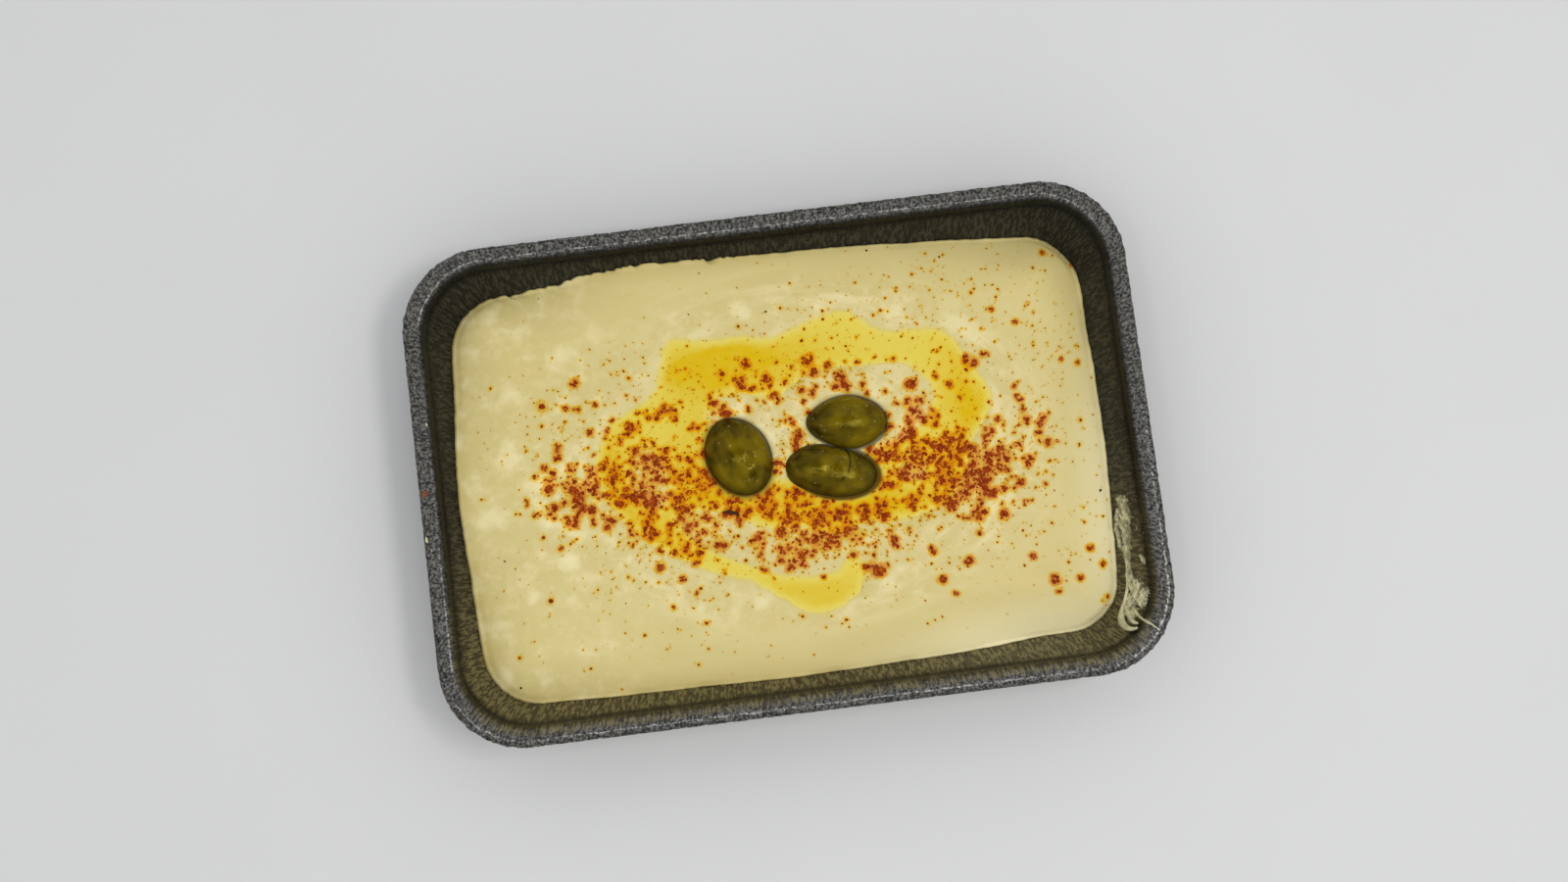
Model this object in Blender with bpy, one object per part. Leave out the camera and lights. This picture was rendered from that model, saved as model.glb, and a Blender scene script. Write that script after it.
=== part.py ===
"""Hummus in a foam tray, with oil in its swirl, three green olives and clumps of paprika.

Metres, +Z up. The origin is the bottom centre of the tray. +X runs along the tray's long side.
"""

import math
import random

import bmesh
import bpy
from mathutils import Matrix, Vector, noise

MM = 0.001
GAP = 0.3  # clearance between neighbouring pieces

# Tray, in millimetres
TRAY_LENGTH = 212.0
TRAY_WIDTH = 145.4
TRAY_DEPTH = 26.0
CORNER_RADIUS = 24.8
CORNER_TIGHTENING = 0.75  # how fast the corners tighten towards the floor
CORNER_STEPS = 8
FOAM = 3.8  # wall thickness
FLOOR = 4.0
WALL_SLOPE = math.radians(27.5)
WALL_TOP_INSET = 6.5  # inner face of the wall, at WALL_TOP
WALL_TOP = 24.0
RIM_NOSE = 1.6  # radius of the rim's outer edge
FOOT_INSET = 16.0

# Hummus
HUMMUS_LEVEL = 18.0
EDGE_ROLL = 17.0  # width over which the surface falls to its edge
SWIRL_CENTRE = (3.0, 3.0)
SWIRL_PITCH = 21.0
SWIRL_RELIEF = 0.3
GRID = 5.0
# Height of the hummus on the wall at a bearing in degrees, where 45 is the right rear corner
EDGE_LEVELS = (
    (0, 13.6), (30, 12.8), (45, 10.2), (60, 14.0), (75, 16.3), (90, 17.1), (104, 18.1), (115, 18.9),
    (128, 12.6), (138, 12.0), (154, 14.1), (168, 16.6), (182, 17.4), (200, 15.3), (225, 12.4),
    (242, 14.8), (270, 16.1), (296, 14.2), (308, 10.0), (318, 9.3), (336, 12.2),
)

# Oil, as plan outlines
OIL_LEVEL = 17.3
OIL_DEPTH = 1.2
OIL_OUTLINE = (
    (-30, 39.5), (-20, 38.5), (-8, 38.5), (-1, 36.8), (6, 38.8), (15, 41.5), (23, 42), (30.5, 36.5),
    (36, 34.5), (48, 34), (54, 29), (58.5, 20), (62, 13), (60, 7), (54, -1), (51.5, -9), (45, -17),
    (32, -20.5), (20, -20), (12, -22.5), (2, -19), (-8, -18), (-18, -13), (-28, -10.5), (-34, -12.5),
    (-31, -18), (-26, -22.5), (-16, -28), (-4, -33), (9, -34), (15.5, -29.5), (18.8, -33), (16, -40),
    (9, -44), (3, -44.3), (-4, -40.5), (-14, -33), (-24, -29.3), (-31, -25.5), (-41, -19.5),
    (-48, -12), (-53.5, -3), (-54.8, 6), (-50, 16.5), (-42, 21), (-36, 24.5), (-33.5, 31),
)
OIL_ISLANDS = (
    ((-45, 2), (-43, 8), (-38.5, 9), (-35.5, 4), (-34.5, -3), (-37, -8.5), (-41.5, -8), (-45, -3)),
    (
        (-19, 20.5), (-12, 22), (-6, 20.5), (-1, 19.5), (4, 22.5), (10, 25.3), (17, 26.5), (25, 25.8),
        (32, 26), (38, 25), (43, 21), (45.5, 16), (44, 10), (41, 6), (36, 3), (30, 1.5), (22, -2),
        (12, -4), (3, -3.5), (-1.5, -5), (-5, -1), (-8, 7), (-15, 10), (-21, 13),
    ),
    ((32, -6), (36, -4.2), (40.5, -6), (39, -9.8), (34.5, -9.6)),
)

# Olives: centre, length, width, height, bearing in degrees, taper, tip
OLIVES = {
    "olive_left": ((-13.6, 3.9, 15.4), 25.4, 19.4, 15.2, -72, 0.06, 0.05),
    "olive_right": ((19.5, 9.9, 15.9), 25.2, 17.2, 14.6, -6.6, 0.05, 0.16),
    "olive_front": ((13.8, -4.4, 14.4), 27.4, 16.4, 14.6, -14, 0.02, 0.05),
}
SPLIT_LOBE = ((8.9, -2.6, 15.0), 20.0, 14.8, 15.0, -9, 0.0, 0.02)
OLIVE_SEGMENTS = 22
OLIVE_RINGS = 12

# Paprika clumps: the largest where they lie, the rest spread by a seeded rule
CLUMP_FLATNESS = 0.55
CLUMPS = (
    (22.7, -34.7, 1.9), (38.9, 18.3, 1.5), (73.1, -43.3, 1.4), (40.9, -39.3, 1.3), (49.1, -35, 1.3),
    (58.4, 22.4, 1.2), (67.7, -36.1, 1.1), (80.6, -43.6, 1.0), (60.9, -22.9, 1.4), (-62.3, -0.7, 1.5),
    (-69.4, 0.7, 1.4), (-57.7, -6.7, 1.4), (-68.3, -5, 1.2), (-64.7, -9.6, 1.1), (-58.7, 30.7, 1.2),
    (-62, 23.6, 0.9), (-53.4, 23.6, 0.9), (-55.9, 15.7, 1.0), (84.1, 20.7, 0.8), (89, 19.3, 0.8),
    (65.6, 37.6, 0.8), (83.4, 53.4, 0.9), (-2.3, -25.6, 1.1), (19.6, 20.7, 1.1), (-34, -30, 1.0),
    (63, 5, 1.1), (67, -14, 1.2), (70, -9, 1.1), (59, -16, 1.2), (55, -13, 1.0), (75, 2, 1.0),
    (-66, 9.5, 1.2), (-70, 7, 1.1), (74, -47, 0.8), (44, -44, 0.9), (72, 33, 0.8), (-40, -26, 1.2),
)
OIL_CLUMPS = (
    (-2.7, 25.3, 1.4), (50.4, 17, 1.1), (-38, 18, 1.0), (-30.5, 16.5, 1.0), (-49.5, -6, 1.2),
    (6.5, -18.8, 1.3), (-8.5, -12, 1.2), (14, -16.5, 1.0), (45, -1, 1.0), (-32, -24, 1.0),
    (47, -9, 1.1), (-26, -4, 1.0), (-29, 9, 0.9), (9.5, 31, 0.9), (-20, 31, 0.8), (30, -13, 1.1),
)
CLUMP_FIELDS = (  # centre, spread and number of the seeded clumps
    ((66, -9), (11, 12), 22), ((-60, 4), (10, 14), 16), ((-2, -27), (24, 5), 12), ((-36, 2), (4, 6), 3),
    ((62, -38), (16, 9), 8), ((-42, 27), (9, 5), 7), ((66, 30), (14, 12), 6), ((32, 20), (9, 5), 4),
)
CLUMP_SIZES = (0.7, 1.2)
SEED = 7


def clear_scene():
    for obj in list(bpy.data.objects):
        bpy.data.objects.remove(obj)


def material(name, colour, roughness, coat=0.0):
    mat = bpy.data.materials.new(name)
    mat.use_nodes = True
    shader = mat.node_tree.nodes["Principled BSDF"]
    shader.inputs["Base Color"].default_value = (*colour, 1.0)
    shader.inputs["Roughness"].default_value = roughness
    shader.inputs["Metallic"].default_value = 0.0
    shader.inputs["Coat Weight"].default_value = coat
    mat.diffuse_color = (*colour, 1.0)
    return mat


def add_object(name, bm, mat=None):
    """An object from a bmesh in millimetres, with its faces pointing out."""
    bmesh.ops.scale(bm, vec=(MM, MM, MM), verts=bm.verts)
    bmesh.ops.recalc_face_normals(bm, faces=bm.faces)
    mesh = bpy.data.meshes.new(name)
    bm.to_mesh(mesh)
    bm.free()
    obj = bpy.data.objects.new(name, mesh)
    bpy.context.scene.collection.objects.link(obj)
    if mat:
        mesh.materials.append(mat)
    return obj


def boolean(target, operation, others):
    """Joins or cuts the target with all the others at once, and removes them."""
    tools = bpy.data.collections.new(f"{target.name} tools")
    bpy.context.scene.collection.children.link(tools)
    for other in others:
        tools.objects.link(other)
    modifier = target.modifiers.new(operation.title(), "BOOLEAN")
    modifier.operation = operation
    modifier.operand_type = "COLLECTION"
    modifier.collection = tools
    modifier.solver = "EXACT"
    bpy.context.view_layer.objects.active = target
    bpy.ops.object.modifier_apply(modifier=modifier.name)
    for other in others:
        bpy.data.objects.remove(other)
    bpy.data.collections.remove(tools)


def smooth(obj, angle=35):
    obj.data.shade_smooth()
    obj.data.set_sharp_from_angle(angle=math.radians(angle))


def rounded_rectangle(inset, height):
    """One loop of the tray's plan, set in from its outer edge, counter-clockwise."""
    radius = CORNER_RADIUS - CORNER_TIGHTENING * inset
    reach_x = TRAY_LENGTH / 2 - inset - radius
    reach_y = TRAY_WIDTH / 2 - inset - radius
    loop = []
    for corner, (side_x, side_y) in enumerate(((1, 1), (-1, 1), (-1, -1), (1, -1))):
        for step in range(CORNER_STEPS + 1):
            angle = math.pi / 2 * (corner + step / CORNER_STEPS)
            x = side_x * reach_x + radius * math.cos(angle)
            y = side_y * reach_y + radius * math.sin(angle)
            loop.append((x, y, height))
    return loop


def loft(section):
    """A closed body through one loop for each (inset, height) of the section, with flat ends."""
    bm = bmesh.new()
    loops = [[bm.verts.new(point) for point in rounded_rectangle(*place)] for place in section]
    for lower, upper in zip(loops, loops[1:]):
        for i in range(len(lower)):
            j = (i + 1) % len(lower)
            bm.faces.new((lower[i], lower[j], upper[j], upper[i]))
    bm.faces.new(list(reversed(loops[0])))
    bm.faces.new(loops[-1])
    return bm


def wall_inset(height):
    """Inset of the wall's inner face at a height."""
    return WALL_TOP_INSET + (WALL_TOP - height) * math.tan(WALL_SLOPE)


def arc(centre, radius, start, end, steps):
    """Points of a section's arc, with angles in degrees from +inset towards +height."""
    angles = [math.radians(start + (end - start) * i / steps) for i in range(steps + 1)]
    return [(centre[0] + radius * math.cos(a), centre[1] + radius * math.sin(a)) for a in angles]


def build_tray(mat):
    outer = FOAM / math.cos(WALL_SLOPE)
    foot_top = 2.4
    neck = TRAY_DEPTH - 2 * RIM_NOSE - 1.4
    fillet_top = FLOOR + 2.4
    nose = arc((RIM_NOSE, TRAY_DEPTH - RIM_NOSE), RIM_NOSE, 270, 90, 6)
    section = [
        (FOOT_INSET, 0.0),
        (FOOT_INSET - 1.7, 0.8),
        (wall_inset(foot_top) - outer, foot_top),
        (wall_inset(neck) - outer, neck),
        (RIM_NOSE + 0.9, TRAY_DEPTH - 2 * RIM_NOSE - 0.2),
        *nose,
        (WALL_TOP_INSET - 2.3, TRAY_DEPTH),
        (WALL_TOP_INSET - 1.1, TRAY_DEPTH - 0.35),
        (WALL_TOP_INSET - 0.3, TRAY_DEPTH - 1.1),
        (WALL_TOP_INSET, WALL_TOP),
        (wall_inset(fillet_top), fillet_top),
        (wall_inset(fillet_top) + 0.8, FLOOR + 1.1),
        (wall_inset(fillet_top) + 1.9, FLOOR + 0.3),
        (wall_inset(fillet_top) + 3.2, FLOOR),
    ]
    smooth(add_object("tray", loft(section), mat), 50)


def eased(t):
    t = min(max(t, 0.0), 1.0)
    return t * t * (3 - 2 * t)


def edge_level(x, y):
    """Height at which the hummus meets the wall, in the direction of a point."""
    bearing = math.degrees(math.atan2(2 * y / TRAY_WIDTH, 2 * x / TRAY_LENGTH)) % 360
    closed = (*EDGE_LEVELS, (EDGE_LEVELS[0][0] + 360, EDGE_LEVELS[0][1]))
    for (start, low), (end, high) in zip(closed, closed[1:]):
        if start <= bearing <= end:
            return low + (high - low) * eased((bearing - start) / (end - start))
    return EDGE_LEVELS[0][1]


def plan_inset(x, y):
    """How far inside the tray's outer edge a point of the plan lies."""
    across = abs(x) - (TRAY_LENGTH / 2 - CORNER_RADIUS)
    along = abs(y) - (TRAY_WIDTH / 2 - CORNER_RADIUS)
    beyond = math.hypot(max(across, 0.0), max(along, 0.0))
    return CORNER_RADIUS - beyond - min(max(across, along), 0.0)


def hummus_height(x, y):
    """The surface: level in the middle with a shallow swirl, and rolling down to the wall."""
    edge = edge_level(x, y)
    roll = eased(0.5 + 0.5 * (plan_inset(x, y) - wall_inset(edge)) / EDGE_ROLL) * 2 - 1
    dx = (x - SWIRL_CENTRE[0]) * TRAY_WIDTH / TRAY_LENGTH
    dy = y - SWIRL_CENTRE[1]
    turn = math.atan2(dy, dx) / (2 * math.pi)
    swirl = math.sin(2 * math.pi * (math.hypot(dx, dy) / SWIRL_PITCH + turn))
    drift = noise.noise(Vector((x / 26, y / 19, 1.7)))
    inner = HUMMUS_LEVEL + SWIRL_RELIEF * (swirl + drift)
    return edge + (inner - edge) * max(roll, 0.0)


def above_surface():
    """A cutter for everything above the hummus: its underside is the hummus's surface."""
    half_x = TRAY_LENGTH / 2
    half_y = TRAY_WIDTH / 2
    columns = round(TRAY_LENGTH / GRID)
    rows = round(TRAY_WIDTH / GRID)
    bm = bmesh.new()
    bmesh.ops.create_grid(bm, x_segments=columns, y_segments=rows, size=1.0)
    for vert in bm.verts:
        x = vert.co.x * half_x
        y = vert.co.y * half_y
        vert.co = (x, y, hummus_height(x, y))
    raised = bmesh.ops.extrude_face_region(bm, geom=bm.faces[:])
    for vert in [v for v in raised["geom"] if isinstance(v, bmesh.types.BMVert)]:
        vert.co.z = TRAY_DEPTH + 10
    return add_object("above surface", bm)


def smooth_loop(points, steps=3):
    """A closed smooth curve through the points of a plan outline, counter-clockwise."""
    loop = []
    for i in range(len(points)):
        a, b, c, d = (Vector(points[(i + k) % len(points)]) for k in range(-1, 3))
        for step in range(steps):
            t = step / steps
            bend = (2 * a - 5 * b + 4 * c - d) * t * t + (3 * b - a - 3 * c + d) * t * t * t
            loop.append(b + ((c - a) * t + bend) / 2)
    area = sum(p.cross(q) for p, q in zip(loop, loop[1:] + loop[:1]))
    return loop if area > 0 else loop[::-1]


def moved_out(loop, distance):
    """A counter-clockwise loop moved outwards along its normals."""
    moved = []
    for i, point in enumerate(loop):
        along = (loop[(i + 1) % len(loop)] - loop[i - 1]).normalized()
        moved.append(point + Vector((along.y, -along.x)) * distance)
    return moved


def plate(name, outline, islands, bottom, top, mat=None):
    """A flat plate with holes, filled between its loops and extruded upwards."""
    bm = bmesh.new()
    for loop in (outline, *islands):
        verts = [bm.verts.new((point.x, point.y, bottom)) for point in loop]
        for i, vert in enumerate(verts):
            bm.edges.new((vert, verts[(i + 1) % len(verts)]))
    bmesh.ops.triangle_fill(bm, edges=bm.edges[:], use_beauty=True, normal=(0, 0, 1))
    raised = bmesh.ops.extrude_face_region(bm, geom=bm.faces[:])
    for vert in [v for v in raised["geom"] if isinstance(v, bmesh.types.BMVert)]:
        vert.co.z = top
    return add_object(name, bm, mat)


def olive(name, centre, length, width, height, bearing, taper, tip, grow=0.0, mat=None):
    """An olive lying along its bearing: a sphere drawn out, tapered and drawn to a blunt tip."""
    bm = bmesh.new()
    turn = Matrix.Rotation(math.pi / 2, 3, "Y")
    bmesh.ops.create_uvsphere(bm, u_segments=OLIVE_SEGMENTS, v_segments=OLIVE_RINGS, radius=1.0)
    bmesh.ops.rotate(bm, cent=(0, 0, 0), matrix=turn, verts=bm.verts)
    for vert in bm.verts:
        narrowing = 1 - taper * vert.co.x - tip * eased(-vert.co.x)
        vert.co.x *= length / 2 + grow
        vert.co.y *= width / 2 * narrowing + grow
        vert.co.z *= height / 2 * narrowing + grow
    obj = add_object(name, bm, mat)
    obj.location = Vector(centre) * MM
    obj.rotation_euler.z = math.radians(bearing)
    smooth(obj, 60)
    return obj


def olive_cutters():
    """The olives with their clearance, to cut what they lie in."""
    cutters = [olive(f"{name} cutter", *shape, grow=GAP) for name, shape in OLIVES.items()]
    cutters.append(olive("split lobe cutter", *SPLIT_LOBE, grow=GAP))
    return cutters


def build_olives(mats):
    for name, shape in OLIVES.items():
        olive(name, *shape, mat=mats[name])
    front = bpy.data.objects["olive_front"]
    boolean(front, "UNION", [olive("split lobe", *SPLIT_LOBE)])
    boolean(front, "DIFFERENCE", [olive("dent", *OLIVES["olive_right"], grow=GAP)])
    smooth(front, 30)


def inside(point, loop):
    crossings = 0
    for p, q in zip(loop, loop[1:] + loop[:1]):
        if (p.y > point.y) != (q.y > point.y):
            crossings += point.x < p.x + (point.y - p.y) / (q.y - p.y) * (q.x - p.x)
    return crossings % 2 == 1


def distance_to(point, loop):
    nearest = math.inf
    for p, q in zip(loop, loop[1:] + loop[:1]):
        along = q - p
        share = min(max((point - p).dot(along) / along.length_squared, 0.0), 1.0)
        nearest = min(nearest, (point - p - along * share).length)
    return nearest


def olive_clearance(point):
    """Distance in the plan from a point to the nearest olive, about."""
    nearest = math.inf
    for centre, length, width, _, bearing, _, _ in OLIVES.values():
        offset = point - Vector(centre[:2])
        offset.rotate(Matrix.Rotation(-math.radians(bearing), 2))
        share = math.hypot(offset.x / (length / 2), offset.y / (width / 2))
        nearest = min(nearest, (share - 1) * width / 2)
    return nearest


def clump(x, y, height, radius, rng):
    """One flattened clump of paprika, half sunk in what it lies on."""
    bm = bmesh.new()
    bmesh.ops.create_icosphere(bm, subdivisions=1, radius=radius)
    for vert in bm.verts:
        vert.co *= rng.uniform(0.8, 1.1)
    turn = Matrix.Rotation(rng.uniform(0, 2 * math.pi), 3, "Z")
    bmesh.ops.rotate(bm, cent=(0, 0, 0), matrix=turn, verts=bm.verts)
    bmesh.ops.scale(bm, vec=(1.0, rng.uniform(0.7, 1.0), CLUMP_FLATNESS), verts=bm.verts)
    bmesh.ops.translate(bm, vec=(x, y, height), verts=bm.verts)
    return add_object("clump", bm)


def hummus_clumps(loops):
    """The clumps on the hummus, clear of the oil, the olives, the wall and each other."""
    rng = random.Random(SEED)
    wanted = list(CLUMPS)
    for centre, spread, count in CLUMP_FIELDS:
        for _ in range(count):
            x = rng.gauss(centre[0], spread[0])
            y = rng.gauss(centre[1], spread[1])
            wanted.append((x, y, rng.uniform(*CLUMP_SIZES)))
    kept = []
    for x, y, radius in wanted:
        point = Vector((x, y))
        room = radius * 1.1 + GAP + 0.3
        in_oil = inside(point, loops[0]) and not any(inside(point, loop) for loop in loops[1:])
        clear_of_oil = not in_oil and min(distance_to(point, loop) for loop in loops) > room
        clear_of_wall = plan_inset(x, y) > wall_inset(edge_level(x, y)) + room + 1
        apart = all((point - Vector(other[:2])).length > room + other[2] for other in kept)
        if clear_of_oil and clear_of_wall and apart and olive_clearance(point) > room:
            kept.append((x, y, radius))
    return [clump(x, y, hummus_height(x, y) + 0.1, radius, rng) for x, y, radius in kept]


def oil_clumps():
    rng = random.Random(SEED + 1)
    return [clump(x, y, OIL_LEVEL, radius, rng) for x, y, radius in OIL_CLUMPS]


def build_oil(loops, mat):
    bottom = OIL_LEVEL - OIL_DEPTH
    oil = plate("oil", loops[0], loops[1:], bottom, OIL_LEVEL, mat)
    boolean(oil, "DIFFERENCE", olive_cutters())
    boolean(oil, "UNION", oil_clumps())
    smooth(oil, 40)


def build_hummus(loops, mat):
    clearance = GAP / math.cos(WALL_SLOPE)
    section = [
        (wall_inset(FLOOR + 2.4) + 3.6, FLOOR + GAP),
        (wall_inset(FLOOR + 2.4) + 2.3, FLOOR + 0.3 + GAP),
        (wall_inset(FLOOR + 2.4) + 1.2, FLOOR + 1.2 + GAP),
        (wall_inset(FLOOR + 2.4) + clearance, FLOOR + 2.4),
        (WALL_TOP_INSET + clearance, WALL_TOP),
    ]
    hummus = add_object("hummus", loft(section), mat)
    boolean(hummus, "DIFFERENCE", [above_surface()])
    outline = moved_out(loops[0], GAP)
    islands = [moved_out(loop, -GAP) for loop in loops[1:]]
    recess_bottom = OIL_LEVEL - OIL_DEPTH - GAP
    recess = plate("oil recess", outline, islands, recess_bottom, TRAY_DEPTH)
    boolean(hummus, "DIFFERENCE", [recess])
    boolean(hummus, "DIFFERENCE", olive_cutters())
    boolean(hummus, "UNION", hummus_clumps(loops))
    smooth(hummus, 40)


def main():
    clear_scene()
    olive_mats = {
        "olive_left": material("left olive", (0.10, 0.095, 0.012), 0.25, 0.6),
        "olive_right": material("right olive", (0.12, 0.11, 0.014), 0.25, 0.6),
        "olive_front": material("front olive", (0.13, 0.12, 0.016), 0.25, 0.6),
    }
    loops = [smooth_loop(points) for points in (OIL_OUTLINE, *OIL_ISLANDS)]
    build_tray(material("black foam", (0.045, 0.044, 0.04), 0.75))
    build_hummus(loops, material("hummus paste", (0.62, 0.53, 0.23), 0.45))
    build_oil(loops, material("olive oil", (0.66, 0.46, 0.02), 0.12, 0.8))
    build_olives(olive_mats)


main()
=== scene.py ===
"""Looks of the hummus in its black foam tray: foam, paste, oil, olives, paprika and smears.

Sizes are millimetres, and every mesh is brought to metres when it is placed.
"""

import math
import random

import bpy
import numpy as np
from mathutils import Matrix, Vector, noise


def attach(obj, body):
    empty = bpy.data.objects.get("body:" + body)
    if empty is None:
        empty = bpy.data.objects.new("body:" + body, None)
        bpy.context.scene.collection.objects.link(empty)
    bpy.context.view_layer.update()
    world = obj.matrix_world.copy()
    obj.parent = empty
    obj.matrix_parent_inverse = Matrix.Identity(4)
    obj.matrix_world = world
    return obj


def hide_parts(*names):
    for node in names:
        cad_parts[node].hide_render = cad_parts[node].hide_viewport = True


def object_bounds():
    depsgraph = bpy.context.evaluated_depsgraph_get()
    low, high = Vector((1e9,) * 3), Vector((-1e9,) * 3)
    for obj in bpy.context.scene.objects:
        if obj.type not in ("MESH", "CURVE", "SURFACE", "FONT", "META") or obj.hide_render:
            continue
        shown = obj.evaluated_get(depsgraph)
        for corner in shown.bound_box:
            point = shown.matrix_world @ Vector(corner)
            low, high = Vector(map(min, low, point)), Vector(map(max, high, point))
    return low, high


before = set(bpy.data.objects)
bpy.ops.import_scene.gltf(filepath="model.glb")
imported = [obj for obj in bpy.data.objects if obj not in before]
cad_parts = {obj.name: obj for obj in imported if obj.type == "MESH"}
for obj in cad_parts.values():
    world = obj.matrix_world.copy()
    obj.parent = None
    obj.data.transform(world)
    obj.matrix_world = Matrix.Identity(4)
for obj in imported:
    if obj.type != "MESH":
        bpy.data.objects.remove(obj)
CAD_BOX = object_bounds()
bpy.ops.object.select_all(action="DESELECT")

MM = 0.001
SEED = 11

# Tray, as in the part
TRAY_LENGTH = 212.0
TRAY_WIDTH = 145.4
TRAY_DEPTH = 26.0
CORNER_RADIUS = 24.8
CORNER_TIGHTENING = 0.75
FOAM = 3.8
FLOOR = 4.0
WALL_SLOPE = math.radians(27.5)
WALL_TOP_INSET = 6.5
WALL_TOP = 24.0
RIM_NOSE = 1.6
FOOT_INSET = 16.0
RIM_LENGTH = 2 * math.pi * CORNER_RADIUS + 2 * (TRAY_LENGTH + TRAY_WIDTH - 4 * CORNER_RADIUS)
TRAY_COLUMNS = 840
TRAY_ROWS = 84
FOAM_RELIEF = 0.16

# Hummus
HUMMUS_LEVEL = 18.0
EDGE_ROLL = 17.0
SWIRL_CENTRE = (3.0, 3.0)
SWIRL_PITCH = 21.0
SWIRL_RELIEF = 0.3
EDGE_LEVELS = (
    (0, 13.6), (30, 12.8), (45, 10.2), (60, 14.0), (75, 16.3), (90, 17.1), (104, 18.1), (115, 18.9),
    (128, 12.6), (138, 12.0), (154, 14.1), (168, 16.6), (182, 17.4), (200, 15.3), (225, 12.4),
    (242, 14.8), (270, 16.1), (296, 14.2), (308, 10.0), (318, 9.3), (336, 12.2),
)
HUMMUS_COLUMNS = 640
HUMMUS_TOP_ROWS = 130
HUMMUS_SIDE_ROWS = 6
SKIN_CENTRE = (14.0, -3.0)  # where the paste's rows meet, under an olive

# Oil
OIL_LEVEL = 17.3
OIL_DEPTH = 1.2
OIL_STEP = 0.6
OIL_OUTLINE = (
    (-30, 39.5), (-20, 38.5), (-8, 38.5), (-1, 36.8), (6, 38.8), (15, 41.5), (23, 42), (30.5, 36.5),
    (36, 34.5), (48, 34), (54, 29), (58.5, 20), (62, 13), (60, 7), (54, -1), (51.5, -9), (45, -17),
    (32, -20.5), (20, -20), (12, -22.5), (2, -19), (-8, -18), (-18, -13), (-28, -10.5), (-34, -12.5),
    (-31, -18), (-26, -22.5), (-16, -28), (-4, -33), (9, -34), (15.5, -29.5), (18.8, -33), (16, -40),
    (9, -44), (3, -44.3), (-4, -40.5), (-14, -33), (-24, -29.3), (-31, -25.5), (-41, -19.5),
    (-48, -12), (-53.5, -3), (-54.8, 6), (-50, 16.5), (-42, 21), (-36, 24.5), (-33.5, 31),
)
OIL_ISLANDS = (
    ((-45, 2), (-43, 8), (-38.5, 9), (-35.5, 4), (-34.5, -3), (-37, -8.5), (-41.5, -8), (-45, -3)),
    (
        (-19, 20.5), (-12, 22), (-6, 20.5), (-1, 19.5), (4, 22.5), (10, 25.3), (17, 26.5), (25, 25.8),
        (32, 26), (38, 25), (43, 21), (45.5, 16), (44, 10), (41, 6), (36, 3), (30, 1.5), (22, -2),
        (12, -4), (3, -3.5), (-1.5, -5), (-5, -1), (-8, 7), (-15, 10), (-21, 13),
    ),
    ((32, -6), (36, -4.2), (40.5, -6), (39, -9.8), (34.5, -9.6)),
)

DEEP_PLACES = (  # centre, spread and depth of the darker yellow parts
    ((-20, 31), (12, 6), 1.0), ((0, 30), (14, 5), 0.55), ((56, 12), (6, 13), 1.0),
    ((-51, 3), (5, 9), 1.0), ((-42, -17), (9, 6), 0.8), ((45, -12), (10, 6), 0.8),
    ((16, -16), (24, 5), 0.8), ((-10, -10), (14, 5), 0.7), ((-26, 4), (6, 12), 0.6),
    ((10, -40), (8, 4), 0.4), ((-6, -36), (10, 4), 0.35),
)

# Olives: centre, length, width, height, bearing in degrees, taper, tip
OLIVES = {
    "olive_left": ((-13.5, 3.5, 15.4), 24.5, 19.4, 15.2, -72, 0.06, 0.05),
    "olive_right": ((19.2, 9.6, 15.9), 24.2, 16.6, 14.6, -6.6, 0.05, 0.16),
    "olive_front": ((13.8, -4.4, 14.4), 27.4, 16.4, 14.6, -14, 0.02, 0.05),
}
DENTS = {  # place, radius and depth
    "olive_left": (
        ((-9.7, -3.2), 1.0, 1.5), ((-10.8, 0.5), 1.0, 0.45), ((-9.4, 3.5), 1.1, 0.35),
        ((-16.5, -4.5), 1.5, 0.3),
    ),
    "olive_right": (((18.0, 12.6), 0.5, 0.3), ((13.0, 6.4), 1.4, 0.3)),
    "olive_front": (),
}
SPLIT_LOBE = ((8.9, -2.6, 15.0), 20.0, 14.8, 15.0, -9, 0.0, 0.02)
SPLIT_CENTRE = (11.9, -1.7)  # the split runs along a circle of this centre and radius
SPLIT_RADIUS = 6.6

# Paprika: centre, spread and cover (share of the surface hidden at the centre) of its drifts
DRIFTS = (
    ((-42, 1), (10, 5.5), 0.45), ((-60, -1), (8, 5), 0.2), ((-33, -12), (8, 8), 0.24),
    ((-22, -8), (8, 6), 0.16), ((-3, -14), (7, 5), 0.42), ((12, -17), (10, 5), 0.33),
    ((2, -26), (13, 4), 0.16), ((31, -5), (8, 5.5), 0.4), ((47, -10), (8, 7), 0.42),
    ((61, -6), (9, 8), 0.25), ((39, 7), (9, 8), 0.15), ((3, 6), (3, 6), 0.3), ((15, 23), (7, 3.5), 0.2),
    ((-4, 24), (6, 4), 0.13), ((56, 24), (5, 4), 0.05), ((-27, 14), (9, 5), 0.17),
    ((-48, 14), (8, 6), 0.06),
)
SPRINKLES = (  # centre, spread and number of the loose small grains
    ((42, 40), (28, 12), 460), ((0, -44), (45, 9), 120), ((60, -36), (18, 7), 70),
    ((-60, -40), (20, 14), 40), ((-62, 8), (10, 14), 150), ((-40, 24), (14, 7), 120),
    ((0, 30), (32, 7), 260), ((0, 0), (42, 20), 900), ((74, 4), (9, 20), 160),
    ((82, 20), (6, 18), 60), ((88, -32), (3, 14), 50), ((-35, -20), (14, 8), 260),
    ((30, -24), (24, 6), 240),
)
GRAIN_MEDIAN = 0.26
GRAIN_SPREAD = 0.48
CLUSTER_COUNTS = (1, 1, 1, 2, 3, 6, 10, 18)  # how many grains lie together, each as likely
GRAINS_PER_COVER = 2.95
SPRINKLE_RADIUS = 0.15
SPRINKLE_SPREAD = 0.55
DUST_RADIUS = 0.19  # grains under it are made with fewer faces
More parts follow.
